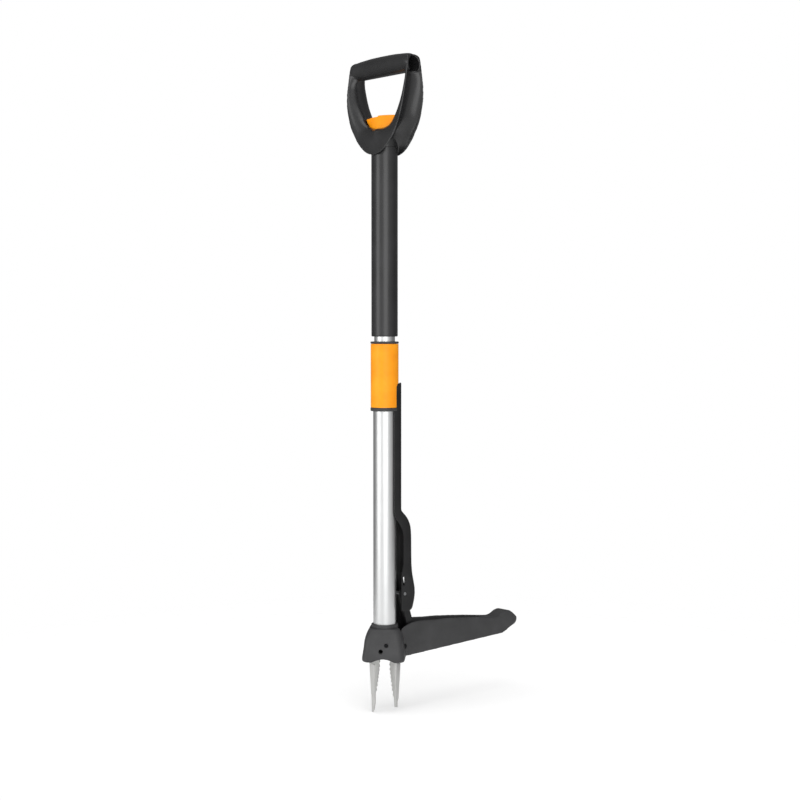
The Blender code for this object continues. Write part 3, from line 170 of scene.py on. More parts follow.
def moulded(name, dark, body, pale, roughness, gloss=0.4, grain=0.7, height=0.03):
    """A moulded plastic in three tones, with the size and depth of its grain in millimetres."""
    material, tree, shader, place = new_material(name, IOR=1.49, Specular_IOR_Level=gloss)
    flow = add(tree, "ShaderNodeTexNoise", {"Scale": per_mm(FLOW_SIZE), "Detail": 3.0}, {"Vector": place})
    fine = add(tree, "ShaderNodeTexNoise", {"Scale": per_mm(grain), "Detail": 2.0}, {"Vector": place})
    both = add(tree, "ShaderNodeMath", {1: GRAIN_SHARE}, {0: fine.outputs["Fac"]}, operation="MULTIPLY")
    tone = add(
        tree,
        "ShaderNodeMath",
        {1: FLOW_SHARE},
        {0: flow.outputs["Fac"], 2: both.outputs["Value"]},
        operation="MULTIPLY_ADD",
    )
    skin = ramp(tree, tone.outputs["Value"], (0.25, dark), (0.5, body), (0.78, pale))
    # Painted highlight: convex edges, found by pointiness, are mixed towards the pale tone
    shape = add(tree, "ShaderNodeNewGeometry")
    edge_highlight = add(
        tree,
        "ShaderNodeMapRange",
        {1: EDGE_HIGHLIGHT_FROM, 2: EDGE_HIGHLIGHT_TO, 3: 0.0, 4: EDGE_HIGHLIGHT_SHARE},
        {0: shape.outputs["Pointiness"]},
    )
    mix = add(
        tree,
        "ShaderNodeMix",
        {7: linear(pale)},
        {0: edge_highlight.outputs["Result"], 6: skin},
        data_type="RGBA",
    )
    tree.links.new(mix.outputs[2], shader.inputs["Base Color"])
    rough = spread(tree, flow.outputs["Fac"], roughness - 0.04, roughness + 0.05)
    tree.links.new(rough, shader.inputs["Roughness"])
    bumped(tree, shader, fine.outputs["Fac"], 0.6, height)
    return material


charcoal = moulded("moulded_charcoal_polypropylene", "313132", "3A3A3B", "474748", 0.5)
glossy = moulded("moulded_satin_black_polypropylene", "1A1A1B", "1F1F20", "29292A", 0.28, 0.75, height=0.012)
black = moulded("moulded_black_nylon", "141415", "1B1B1C", "272728", 0.45)
orange = moulded("moulded_orange_polypropylene", "F08B07", "F99B0B", "FFAB1C", 0.4, 0.3, height=0.012)
natural = moulded("natural_nylon", "D9D6CC", "E6E3DA", "F0EEE7", 0.45)
print("plastics:", ", ".join(m.name for m in (charcoal, glossy, black, orange, natural)))

# %% [markdown]
# ## Coated tube
#
# The upper tube is aluminium under a satin black powder coat. The powder melts into a skin with a
# slight orange peel about 1.5 mm across, which breaks up the long highlight a little.


# %% Powder coat
PEEL_SIZE = 1.5
COAT_CLOUD = 40


def powder_coat(name, dark, body, pale):
    """A satin coat in three tones, with a slight orange peel."""
    material, tree, shader, place = new_material(name, IOR=1.5, Specular_IOR_Level=0.72)
    peel = add(tree, "ShaderNodeTexNoise", {"Scale": per_mm(PEEL_SIZE), "Detail": 2.0}, {"Vector": place})
    cloud = add(tree, "ShaderNodeTexNoise", {"Scale": per_mm(COAT_CLOUD), "Detail": 4.0}, {"Vector": place})
    skin = ramp(tree, cloud.outputs["Fac"], (0.3, dark), (0.5, body), (0.72, pale))
    tree.links.new(skin, shader.inputs["Base Color"])
    tree.links.new(spread(tree, cloud.outputs["Fac"], 0.26, 0.32), shader.inputs["Roughness"])
    bumped(tree, shader, peel.outputs["Fac"], 0.35, 0.02)
    return material


coated = powder_coat("satin_black_powder_coat", "1A1A1B", "1F1F20", "262628")
print("coat:", coated.name, "with a peel of", PEEL_SIZE, "mm")

# %% [markdown]
# ## Metals
#
# The tubes are drawn aluminium, anodised clear: the die leaves faint lines along the tube, so the
# pattern is stretched along Z. The claws are stamped stainless steel, blasted to a dull white-grey,
# with a fine cloud in the finish. The hidden pins, the lock's rod and its spring are zinc-plated
# steel, and the pivot pin and the screws are blackened steel. A line from the die is about 0.3 mm
# wide on the real tube and is made 0.8 mm wide, so that it shows.


# %% Metals
METAL_CLOUD = 35


def drawn_metal(name, dark, body, pale, roughness, across, along, height):
    """A metal in three tones, with its lines' width, length and depth in millimetres."""
    material, tree, shader, place = new_material(name, Metallic=1.0)
    stretch = add(
        tree,
        "ShaderNodeMapping",
        {"Scale": (per_mm(across), per_mm(across), per_mm(along))},
        {"Vector": place},
    )
    lines = add(
        tree,
        "ShaderNodeTexNoise",
        {"Scale": 1.0, "Detail": 3.0, "Roughness": 0.6},
        {"Vector": stretch.outputs["Vector"]},
    )
    cloud = add(tree, "ShaderNodeTexNoise", {"Scale": per_mm(METAL_CLOUD), "Detail": 3.0}, {"Vector": place})
    clouded = add(tree, "ShaderNodeMath", {1: 0.5}, {0: cloud.outputs["Fac"]}, operation="MULTIPLY")
    total = add(
        tree,
        "ShaderNodeMath",
        {1: 0.5},
        {0: lines.outputs["Fac"], 2: clouded.outputs["Value"]},
        operation="MULTIPLY_ADD",
    )
    skin = ramp(tree, total.outputs["Value"], (0.3, dark), (0.5, body), (0.7, pale))
    tree.links.new(skin, shader.inputs["Base Color"])
    rough = spread(tree, lines.outputs["Fac"], roughness - 0.05, roughness + 0.06)
    tree.links.new(rough, shader.inputs["Roughness"])
    bumped(tree, shader, lines.outputs["Fac"], 0.4, height)
    return material


aluminium = drawn_metal("clear_anodised_aluminium", "E6E7E7", "EAEBEB", "EFF0F0", 0.36, 0.8, 260, 0.002)
stainless = drawn_metal("blasted_stainless_steel", "D2D2CF", "DADAD8", "E2E2E0", 0.5, 0.9, 2.2, 0.008)
zinc = drawn_metal("zinc_plated_steel", "9B9D9F", "A9ABAD", "B8BABC", 0.34, 0.6, 1.2, 0.008)
blackened = drawn_metal("blackened_steel", "1E1E1F", "28282A", "343436", 0.4, 0.6, 1.2, 0.008)
print("metals:", ", ".join(m.name for m in (aluminium, stainless, zinc, blackened)))

# %% [markdown]
# ## Dressing the CAD nodes
#
# Pins, screws, the lock's rod and its spring already have their right shape. They stay, and only
# take a finish. Every other node takes its finish too, though a finished piece stands for it below.

# %% Finishes of the nodes
FINISH = {
    "d_handle": charcoal,
    "lock_button": orange,
    "button_spring": zinc,
    "lock_rod": zinc,
    "lock_wedge": black,
    "lock_collet": natural,
    "upper_tube": coated,
    "inner_tube": aluminium,
    "lower_tube": aluminium,
    "end_bush": charcoal,
    "ejector_sleeve": orange,
    "sleeve_top_ring": charcoal,
    "sleeve_bottom_ring": charcoal,
    "ejector_rod": black,
    "ejector_link": black,
    "shaft_foot": charcoal,
    "pedal_housing": charcoal,
    "plunger": black,
    "claw_carrier": black,
    "claw_front": stainless,
    "claw_rear": stainless,
    "claw_left": stainless,
    "claw_right": stainless,
    "pivot_pin": blackened,
    "carrier_screw_1": blackened,
    "carrier_screw_2": blackened,
    "rod_screw": blackened,
}


def dress(obj, material):
    """Gives the whole object one material."""
    obj.data.materials.clear()
    obj.data.materials.append(material)
    for polygon in obj.data.polygons:
        polygon.material_index = 0


for name, node in nodes.items():
    dress(node, FINISH.get(name, zinc))
print("dressed", len(nodes), "nodes,", len(FINISH), "of them with a finish of their own")

# %% [markdown]
# ## Modelling by hand, in code
#
# Each new piece starts as a primitive, is shaped in edit mode and is finished with modifiers that
# are applied. These helpers do what the hands do: pick faces or edges, add a modifier and apply
# it, cut one shape with another, and sweep a section along a row of places.


# %% Helpers for shapes
def only(obj):
    """Object mode, with this object selected and active and nothing else."""
    if bpy.context.mode != "OBJECT":
        bpy.ops.object.mode_set(mode="OBJECT")
    bpy.ops.object.select_all(action="DESELECT")
    obj.select_set(True)
    bpy.context.view_layer.objects.active = obj


def begin(name):
    """Names the primitive just added, puts its place in its mesh and opens edit mode."""
    obj = bpy.context.object
    obj.name = obj.data.name = name
    bpy.ops.object.transform_apply(location=True, rotation=True, scale=True)
    bpy.ops.object.mode_set(mode="EDIT")
    return obj


def pick(kind, test):
    """Selects in edit mode the faces, edges or points that pass a test."""
    obj = bpy.context.edit_object
    bpy.ops.mesh.select_mode(type=kind)
    bpy.ops.mesh.select_all(action="DESELECT")
    work = bmesh.from_edit_mesh(obj.data)
    items = {"FACE": work.faces, "EDGE": work.edges, "VERT": work.verts}[kind]
    for item in items:
        if test(item):
            item.select_set(True)
    work.select_flush_mode()
    bmesh.update_edit_mesh(obj.data)


def modify(obj, kind, **settings):
    """Adds a modifier, sets it and applies it."""
    only(obj)
    modifier = obj.modifiers.new(kind.lower(), kind)
    for key, value in settings.items():
        setattr(modifier, key, value)
    bpy.ops.object.modifier_apply(modifier=modifier.name)
    return obj


def cut(obj, cutter, operation="DIFFERENCE"):
    """Cuts, joins or trims a piece with another shape, which is used up."""
    modify(obj, "BOOLEAN", object=cutter, operation=operation, solver="EXACT")
    bpy.data.objects.remove(cutter)
    return obj


def cylinder(name, start, end, radius, sides=64):
    """A round bar between two points of the tool."""
    start, end = at(*start), at(*end)
    along = end - start
    bpy.ops.mesh.primitive_cylinder_add(
        vertices=sides,
        radius=radius * MM,
        depth=along.length,
        location=(start + end) / 2,
        rotation=along.to_track_quat("Z", "Y").to_euler(),
    )
    return begin(name)


def block(name, low, high):
    """A box between two corners of the tool."""
    low, high = at(*low), at(*high)
    bpy.ops.mesh.primitive_cube_add(size=1.0, location=(low + high) / 2, scale=high - low)
    return begin(name)


def sweep(name, sections):
    """A filled circle, given the first section's form and extruded from section to section."""
    bpy.ops.mesh.primitive_circle_add(vertices=len(sections[0]), radius=MM, fill_type="NGON")
    piece = begin(name)
    work = bmesh.from_edit_mesh(piece.data)
    for vert, point in zip(work.verts, sections[0]):
        vert.co = at(*point)
    bmesh.update_edit_mesh(piece.data)
    bpy.ops.mesh.select_all(action="SELECT")
    for before, after in zip(sections, sections[1:]):
        bpy.ops.mesh.extrude_region_move()
        old = KDTree(len(before))
        for index, point in enumerate(before):
            old.insert(at(*point), index)
        old.balance()
        work = bmesh.from_edit_mesh(piece.data)
        for vert in work.verts:
            if vert.select:
                vert.co = at(*after[old.find(vert.co)[1]])
        bmesh.update_edit_mesh(piece.data)
    bpy.ops.mesh.select_all(action="SELECT")
    bpy.ops.mesh.normals_make_consistent(inside=False)
    bpy.ops.object.mode_set(mode="OBJECT")
    return piece


def done(obj):
    """Leaves edit mode."""
    bpy.ops.object.mode_set(mode="OBJECT")
    return obj


def side_plate(name, outline, low_y, high_y):
    """A side-view outline, filled and extruded across the tool."""
    return sweep(name, [[(x, y, z) for x, z in outline] for y in (low_y, high_y)])


def plan_plate(name, outline, low_z, high_z):
    """A plan outline, filled and extruded upwards."""
    return sweep(name, [[(x, y, z) for x, y in outline] for z in (low_z, high_z)])


def across(name, place, half, radius, sides=48):
    """A drill that runs from side to side."""
    x, z = place
    return done(cylinder(name, (x, -half, z), (x, half, z), radius, sides))


def eased(p, q, r, s, t):
    """The value at share t from q to r, on a smooth curve that also passes p and s."""
    line = 2 * q + (r - p) * t
    return 0.5 * (line + (2 * p - 5 * q + 4 * r - s) * t**2 + (3 * q - p - 3 * r + s) * t**3)


def between(stations, steps):
    """More stations on a smooth curve through the given ones."""
    out = []
    last = len(stations) - 1
    for i in range(last):
        a, b, c, d = (stations[max(0, min(last, i + k))] for k in (-1, 0, 1, 2))
        for step in range(steps):
            out.append(tuple(eased(p, q, r, s, step / steps) for p, q, r, s in zip(a, b, c, d)))
    return out + [tuple(stations[-1])]


def mould(obj, cell, passes):
    """Even cells over the whole skin, then smoothing, which rounds each edge as a mould does."""
    modify(obj, "REMESH", mode="VOXEL", voxel_size=cell * MM)
    modify(obj, "SMOOTH", factor=0.5, iterations=passes)
    return obj


def twin(obj, name):
    """Another object with its own copy of the mesh."""
    copy = bpy.data.objects.new(name, obj.data.copy())
    copy.data.name = name
    bpy.context.scene.collection.objects.link(copy)
    return copy


def copy_of(node, name):
    """A copy of a CAD node with its loose triangles joined."""
    obj = twin(nodes[node], name)
    only(obj)
    bpy.ops.object.mode_set(mode="EDIT")
    bpy.ops.mesh.select_all(action="SELECT")
    bpy.ops.mesh.remove_doubles(threshold=0.001 * MM)
    bpy.ops.mesh.normals_make_consistent(inside=False)
    bpy.ops.object.mode_set(mode="OBJECT")
    return obj


def soften(obj, width, segments, degrees):
    """Rounds every edge that is sharper than an angle."""
    sharp = math.radians(degrees)
    return modify(obj, "BEVEL", width=width * MM, segments=segments, limit_method="ANGLE", angle_limit=sharp)


def finished(obj, material, body, *replaced, angle=35):
    """Shades a piece, gives it its finish and hangs it on its body in place of its nodes."""
    only(obj)
    bpy.ops.object.shade_smooth_by_angle(angle=math.radians(angle))
    dress(obj, material)
    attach(obj, body)
    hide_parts(*replaced)
    print(obj.name, "for", ", ".join(replaced), "-", len(obj.data.polygons), "faces")
    return obj


# %% [markdown]
# ## Tubes, bands and bush
#
# Each is a length of tube with its ends faced and their outer edges rounded. A cylinder gets its
# ends inset by the wall, the two inner faces are bridged into a bore, and the rims are bevelled.


# %% Tubes
def round_tube(name, node, bore, rounding, sides=96, top_rounding=None):
    """A length of tube in a node's place, with its outer rims rounded."""
    low, high = span(node)
    outer = (high.y - low.y) / 2
    piece = cylinder(name, (0, 0, low.z), (0, 0, high.z), outer, sides)
    pick("FACE", lambda face: abs(face.normal.z) > 0.9)
    bpy.ops.mesh.inset(thickness=(outer - bore) * MM, use_individual=True)
    bpy.ops.mesh.bridge_edge_loops()
    ends = (low.z * MM, high.z * MM)
    rim = (outer - 0.01) * MM * math.cos(math.pi / sides)

    def on_rim(edge):
        middle = (edge.verts[0].co + edge.verts[1].co) / 2
        flat = abs(edge.verts[0].co.z - edge.verts[1].co.z) < 0.01 * MM
        out = math.hypot(middle.x - SHAFT_X * MM, middle.y) > rim
        return flat and out and min(abs(middle.z - end) for end in ends) < 0.01 * MM

    for end, size in ((ends[0], rounding), (ends[1], top_rounding or rounding)):
        pick("EDGE", lambda edge: on_rim(edge) and abs(edge.verts[0].co.z - end) < 0.01 * MM)
        bpy.ops.mesh.bevel(offset=size * MM, segments=4, affect="EDGES")
    bpy.ops.object.mode_set(mode="OBJECT")
    return piece


BAND_ROUND = 1.1
TUBE_BORE = 16.05
INNER_BORE = 14.3
UPPER_BORE = 15.9
SLEEVE_BORE = 17.55
finished(round_tube("bright_lower_tube", "lower_tube", TUBE_BORE, 0.4), aluminium, "shaft", "lower_tube")
sliding = round_tube("bright_sliding_tube", "inner_tube", INNER_BORE, 0.4)
finished(sliding, aluminium, "telescope", "inner_tube")
upper = round_tube("black_upper_tube", "upper_tube", UPPER_BORE, 1.6, top_rounding=0.2)
finished(upper, coated, "telescope", "upper_tube")
finished(round_tube("tube_end_bush", "end_bush", UPPER_BORE, 0.7), charcoal, "shaft", "end_bush")
upper_band = round_tube("upper_band", "sleeve_top_ring", SLEEVE_BORE, BAND_ROUND)
finished(upper_band, charcoal, "ejector", "sleeve_top_ring")

# %% [markdown]
# ## The D-handle
#
# One moulding: a hollow round grip, two arms that swell out and meet below it, and an open trough
# down the outside of each arm. A section is swept down one arm, over the middle and up the other,
# the grip is joined to it, and the trough, the bore, the socket of the tube and the pocket of the
# button are cut out. An even skin and some smoothing then round all its edges, as the mould does.

# %% Arms and grip
TOP = span("d_handle")[1].z
# Down one arm, in millimetres: the rim's distance from the middle and depth below the top, the
# same two of the crest, half the width, and the wall at the crest
ARM = (
    (59.0, 4.8, 43.0, 15.0, 6.6, 2.8),
    (63.6, 7.0, 45.0, 16.5, 10.2, 2.8),
    (66.8, 11.5, 48.0, 18.5, 12.2, 2.8),
    (67.8, 20.0, 52.6, 24.5, 13.4, 2.8),
    (68.2, 29.5, 56.4, 33.0, 14.8, 2.8),
    (68.2, 38.5, 58.2, 40.0, 16.2, 2.8),
    (67.8, 49.0, 56.8, 49.5, 17.8, 2.8),
    (67.0, 61.0, 53.8, 60.0, 19.2, 3.0),
    (65.1, 73.5, 49.2, 70.5, 20.1, 4.0),
    (61.9, 86.0, 43.2, 80.5, 20.6, 6.4),
    (57.6, 98.0, 37.0, 89.6, 20.8, 8.6),
    (52.2, 109.0, 30.2, 97.4, 20.8, 9.6),
    (45.6, 119.4, 22.6, 103.0, 20.6, 10.9),
    (37.5, 129.0, 15.4, 106.0, 21.2, 13.6),
    (28.4, 137.4, 9.6, 107.6, 21.6, 19.2),
    (15.2, 145.4, 4.4, 108.3, 21.9, 25.5),
    (0.0, 149.0, 0.0, 108.5, 22.0, 27.5),
)
TROUGH_FROM = 4
ARM_WALL = 2.0
ARM_FULLNESS = 2.05
MIDDLE_FULLNESS = 3.2
TROUGH_FULLNESS = 1.6
ARM_REACH = 68.0
ARC_POINTS = 20
TROUGH_OVER = 6.0
# Along the grip from its middle: distance, half width and height
GRIP = (
    (0.0, 14.2, 30.3),
    (25.0, 14.2, 30.0),
    (42.0, 14.2, 29.0),
    (53.0, 14.2, 28.2),
    (60.0, 14.2, 26.9),
    (64.5, 13.8, 24.2),
    (67.0, 13.3, 20.6),
)
GRIP_UNDER = 31.5
# Along the bore from its middle: distance, half width, half height and depth below the top
BORE = ((0.0, 9.7, 9.2, 18.1), (52.0, 9.7, 10.2, 18.8), (62.0, 9.9, 12.2, 20.4), (74.0, 10.4, 14.0, 22.4))


def arm_sections(stations, arc_points, margin=0.0, inside=False):
    """Half ovals from rim to crest down one arm and up the other, or those of the trough inside."""
    half = []
    for rim_y, rim_d, crest_y, crest_d, wide, wall in stations:
        rim = Vector((0.0, rim_y, TOP - rim_d))
        crest = Vector((0.0, crest_y, TOP - crest_d))
        inward = (crest - rim).normalized()
        deep = (crest - rim).length - (wall if inside else 0.0)
        wide = wide - (ARM_WALL if inside else 0.0)
        flat_front = ARM_FULLNESS + MIDDLE_FULLNESS * max(0.0, 1 - rim_y / ARM_REACH) ** 2
        power = 2 / (TROUGH_FULLNESS if inside else flat_front)
        ring = []
        for i in range(arc_points + 1):
            angle = math.pi * (i / arc_points - 0.5)
            share_in = abs(math.cos(angle)) ** power
            share_out = math.copysign(abs(math.sin(angle)) ** power, angle)
            ring.append(rim + inward * deep * share_in + Vector((wide * share_out, 0.0, 0.0)))
        if margin:
            ring.append(rim - inward * margin + Vector((wide, 0.0, 0.0)))
            ring.append(rim - inward * margin - Vector((wide, 0.0, 0.0)))
        half.append(ring)
    other = [[Vector((p.x, -p.y, p.z)) for p in ring] for ring in reversed(half[:-1])]
    return half + other


def ovals(stations, sides=48):
    """Ovals across the grip from one end to the other: distance, half width, half height, depth."""
    half = []
    for y, wide, high, depth in stations:
        turns = [math.tau * i / sides for i in range(sides)]
        half.append([(wide * math.cos(t), y, TOP - depth + high * math.sin(t)) for t in turns])
    return [[(x, -y, z) for x, y, z in ring] for ring in reversed(half[1:])] + half


smooth_arm = between(ARM, 3)
handle = sweep("moulded_d_handle", arm_sections(smooth_arm, ARC_POINTS))
grip_line = [(y, wide, high / 2, GRIP_UNDER - high / 2) for y, wide, high in between(GRIP, 3)]
cut(handle, sweep("grip", ovals(grip_line)), "UNION")
trough_line = between(ARM[TROUGH_FROM:], 3)
cut(handle, sweep("trough", arm_sections(trough_line, ARC_POINTS, TROUGH_OVER, True)))
cut(handle, sweep("grip_bore", ovals(between(BORE, 3))))
print("handle:", len(handle.data.polygons), "faces before its sockets are cut")

# %% [markdown]
# The middle of the D takes the tube from below, with a spigot inside the sliding tube, and holds
# the button's pocket and its spring from above.

# %% Sockets of the handle
TUBE_TOP = span("upper_tube")[1].z
BUTTON_TOP = span("lock_button")[1].z
BUTTON_UNDER = ((36.4, 1.4), (33.6, 5.6), (28.0, 11.8), (21.0, 17.4), (13.0, 21.8), (6.0, 23.8), (0.0, 24.2))
BUTTON_HALF = 8.0
TRAVEL = 4.5
FIT = 0.4
POCKET_FIT = 1.0
POCKET_TOP = 30.0
POCKET_WIDER = 1.3
GAP = 0.3
SOCKET_R = 19.8
SOCKET_DROP = 8
SOCKET_RISE = 24.0
WELL_R = 7.2
WELL_DEPTH = 24
ROD_HOLE_R = 3.0
HANDLE_CELL = 0.9


def crescent(name, margin, drop, rise, crown=()):
    """The button's outline, filled and given its thickness by extruding, or its pocket."""
    under = between([(y, -depth) for y, depth in BUTTON_UNDER], 3)
    wider = margin * POCKET_WIDER
    right = [(under[0][0] + wider, rise)]
    right += [(y + wider * (y > 0), z - drop) for y, z in under]
    outline = right + [(-y, z) for y, z in reversed(right[:-1])] + list(crown)
    sections = []
    for x in (-BUTTON_HALF - margin, BUTTON_HALF + margin):
        sections.append([(x, y, BUTTON_TOP + z) for y, z in outline])
    return sweep(name, sections)


low, high = span("upper_tube")
neck_r = (high.x - low.x) / 2 + GAP
spigot_low = span("d_handle")[0].z
neck = (0, 0, TUBE_TOP + GAP)
boss_ends = ((0, 0, TUBE_TOP - SOCKET_DROP), (0, 0, TUBE_TOP + SOCKET_RISE))
cut(handle, done(cylinder("boss", *boss_ends, SOCKET_R)), "UNION")
cut(handle, crescent("pocket", POCKET_FIT, TRAVEL + FIT, POCKET_TOP))
mould(handle, HANDLE_CELL, 4)
cut(handle, done(cylinder("neck_room", (0, 0, spigot_low - 20), neck, neck_r, 96)))
cut(handle, done(cylinder("spigot", (0, 0, spigot_low), (0, 0, TUBE_TOP + 3), INNER_BORE - GAP)), "UNION")
cut(handle, done(cylinder("well", (0, 0, TUBE_TOP - 6), (0, 0, BUTTON_TOP - WELL_DEPTH), WELL_R)))
cut(handle, done(cylinder("rod_hole", (0, 0, spigot_low - 5), (0, 0, TUBE_TOP), ROD_HOLE_R)))
finished(handle, glossy, "telescope", "d_handle", angle=60)

# %% [markdown]
# ## The lock button
#
# A bright crescent that sits in the bottom of the D and is pushed down to free the sliding tube.
# Its outline is swept across, trimmed to a lens as seen from above and bevelled round, and its
# stem with the socket of the push rod is joined below.

# %% Button
# Along the top from the right end to the left: a thumb pad with a step down to the left half
CROWN = ((-20.0, 1.5), (0.0, 2.7), (6.0, 2.8), (6.8, 1.4), (20.0, 1.2))
LENS_TAPER = 0.4
LENS_REACH = 36.4
BUTTON_STEM_R = 6.6
BUTTON_STEM_TOP = 19
PUSH_ROD_HOLE_R = 2.8
PUSH_ROD_HOLE_TOP = 10
button = crescent("orange_lock_button", 0.0, 0.0, 0.0, CROWN)
lens = [(BUTTON_HALF * (1 - LENS_TAPER * (y / LENS_REACH) ** 2), y) for y in range(-37, 38, 2)]
plan = [(-x, y) for x, y in lens] + list(reversed(lens))
cut(button, plan_plate("button_plan", plan, BUTTON_TOP - 60, BUTTON_TOP + 10), "INTERSECT")
soften(button, 1.2, 3, 50)
stem_low = span("lock_button")[0].z
stem_ends = ((0, 0, stem_low), (0, 0, BUTTON_TOP - BUTTON_STEM_TOP))
cut(button, done(cylinder("stem", *stem_ends, BUTTON_STEM_R)), "UNION")
socket_ends = ((0, 0, stem_low - 5), (0, 0, BUTTON_TOP - PUSH_ROD_HOLE_TOP))
cut(button, done(cylinder("rod_socket", *socket_ends, PUSH_ROD_HOLE_R)))
finished(button, orange, "button", "lock_button")

# %% [markdown]
# ## The ejector's rod
#
# A nylon channel that lies along the back of the tube. Its section is swept upwards: it stands
# well clear of the tube where the link works inside it, then closes in over a round shoulder and
# runs up beside the tube into a notch in the sleeve.

# %% Rod
# Height, front edge and back
ROD = (
    (151.0, 19.5, 40.2),
    (152.0, 18.9, 42.0),
    (154.0, 18.3, 43.4),
    (158.0, 18.0, 45.0),
    (167.0, 18.0, 47.4),
    (176.0, 18.0, 48.6),
    (184.0, 18.0, 48.2),
    (191.0, 18.0, 46.8),
    (198.0, 18.0, 45.2),
    (205.0, 18.0, 43.6),
    (213.0, 19.6, 42.6),
    (222.0, 21.6, 41.8),
    (240.0, 22.0, 41.5),
    (255.0, 22.0, 41.4),
    (265.0, 21.6, 41.2),
    (272.0, 20.2, 40.7),
    (278.0, 17.8, 39.8),
    (283.0, 14.6, 38.2),
    (288.0, 10.8, 35.8),
    (292.5, 7.2, 32.8),
    (296.5, 5.0, 29.2),
    (299.5, 4.0, 26.0),
    (302.0, 3.6, 23.4),
    (304.0, 3.5, 22.0),
    (306.5, 3.5, 21.5),
    (499.0, 3.5, 21.5),
)
ROD_HALF = 19.5
ROD_WALL = 2.2
ROD_CORNER = 9.5
LINK_TOP = (24.0, 177.0)
PIN_HOLE_R = 2.8
ROD_SCREW_Z = 477.0
ROD_SCREW_R = 1.8
TOP_ROUND = 9.0
# Low and high x and z of the slot through the sides and of the windows in the back, and the
# windows' y on either side of the middle
SIDE_SLOT = ((20.2, 23.8), (190.0, 203.0))
WINDOW = ((33.5, 61.5), (188.0, 205.0))
WINDOW_Y = (4.0, 10.8)


def quarter(centre, radius, start, end, steps=10):
    """Points on an arc, in degrees."""
    turns = [math.radians(start + (end - start) * i / steps) for i in range(steps + 1)]
    return [(centre[0] + radius * math.cos(t), centre[1] + radius * math.sin(t)) for t in turns]


def channel(z, front, back, half, corner, wall=None):
    """The outline round the rod at one height, or its open channel when given a wall."""
    corner = min(corner, back - front - 1.0)
    middle = (back - corner, half - corner)
    outer = [(front, half)] + quarter(middle, corner, 90, 0)
    outer += [(x, -y) for x, y in reversed(outer)]
    if wall:
        inner = [(front, half - wall)] + quarter(middle, corner - wall, 90, 0)
        inner += [(x, -y) for x, y in reversed(inner)]
        outer += list(reversed(inner))
    return [(x, y, z) for x, y in outer]


rod = sweep("black_ejector_rod", [channel(*place, ROD_HALF, ROD_CORNER, ROD_WALL) for place in ROD])
rod_top = ROD[-1][0]


def rounded_top(obj, room):
    """Rounds the rod's upper end, seen from the side and from behind, or its notch."""
    top, back, half = rod_top + room, ROD[-1][2] + room, ROD_HALF + room
    side = [(-5.0, 140.0), (60.0, 140.0), (60.0, 320.0), (back, 330.0)]
    side += quarter((back - TOP_ROUND, top - TOP_ROUND), TOP_ROUND, 0, 90) + [(-5.0, top)]
    cut(obj, side_plate("side_outline", side, -40, 40), "INTERSECT")
    arch = [(-half, 140.0), (half, 140.0)]
    arch += quarter((half - TOP_ROUND, top - TOP_ROUND), TOP_ROUND, 0, 90)
    arch += quarter((TOP_ROUND - half, top - TOP_ROUND), TOP_ROUND, 90, 180)
    return cut(obj, sweep("back_outline", [[(x, y, z) for y, z in arch] for x in (-10, 70)]), "INTERSECT")


rounded_top(rod, 0.0)
cut(rod, across("link_top_hole", LINK_TOP, 30, PIN_HOLE_R))
(low_x, high_x), (low_z, high_z) = SIDE_SLOT
cut(rod, done(block("side_slot", (low_x, -30, low_z), (high_x, 30, high_z))))
(low_x, high_x), (low_z, high_z) = WINDOW
for side in (-1, 1):
    near, far = sorted(side * y for y in WINDOW_Y)
    cut(rod, done(block("window", (low_x, near, low_z), (high_x, far, high_z))))


def screw_drill():
    """The hole of the screw that holds the rod to the sleeve."""
    return done(cylinder("screw_hole", (15, 0, ROD_SCREW_Z), (30, 0, ROD_SCREW_Z), ROD_SCREW_R))


cut(rod, screw_drill())
soften(rod, 0.6, 2, 50)
finished(rod, black, "ejector", "ejector_rod")

# %% [markdown]
# ## Sleeve and lower band
#
# The sleeve is a round tube with a notch for the rod's channel, so that the two hold each other.
# The lower band is made in the same way, but its notch is the whole room of the rod.

# %% Sleeve
NOTCH_LOW = 430.0
BAND_NOTCH_TOP = 493.3
# Front, back, half width and corner of the rod's room
AROUND_ROD = (ROD[-1][1] - GAP, ROD[-1][2] + GAP, ROD_HALF + GAP, ROD_CORNER + GAP)


def notch(name):
    """The room of the rod's channel. The sleeve keeps the tongue that fills the channel."""
    wall = ROD_WALL + 2 * GAP
    room = sweep(name, [channel(z, *AROUND_ROD, wall) for z in (NOTCH_LOW, rod_top + GAP)])
    return rounded_top(room, GAP)


sleeve = round_tube("orange_sleeve", "ejector_sleeve", SLEEVE_BORE, 0.6)
cut(sleeve, notch("sleeve_notch"))
cut(sleeve, screw_drill())
finished(sleeve, orange, "ejector", "ejector_sleeve")
band = round_tube("lower_band", "sleeve_bottom_ring", SLEEVE_BORE, BAND_ROUND)
cut(band, sweep("band_notch", [channel(z, *AROUND_ROD) for z in (NOTCH_LOW, BAND_NOTCH_TOP)]))
finished(band, charcoal, "ejector", "sleeve_bottom_ring")

# %% [markdown]
# ## The pedal and its bell
#
# One moulding again. The pedal starts as a side outline extruded across, trimmed by its plan and
# rounded. The bell is a rounded square swept up to its shoulder. Rooms, holes, arches and bosses
# follow as cuts and joins, and an even smoothed skin gives every corner its mould radius.

# %% Pedal
# Under side and top of the pedal, from the shaft's axis
PEDAL_UNDER = ((6.0, 84.0), (28.0, 81.7), (236.0, 89.3))
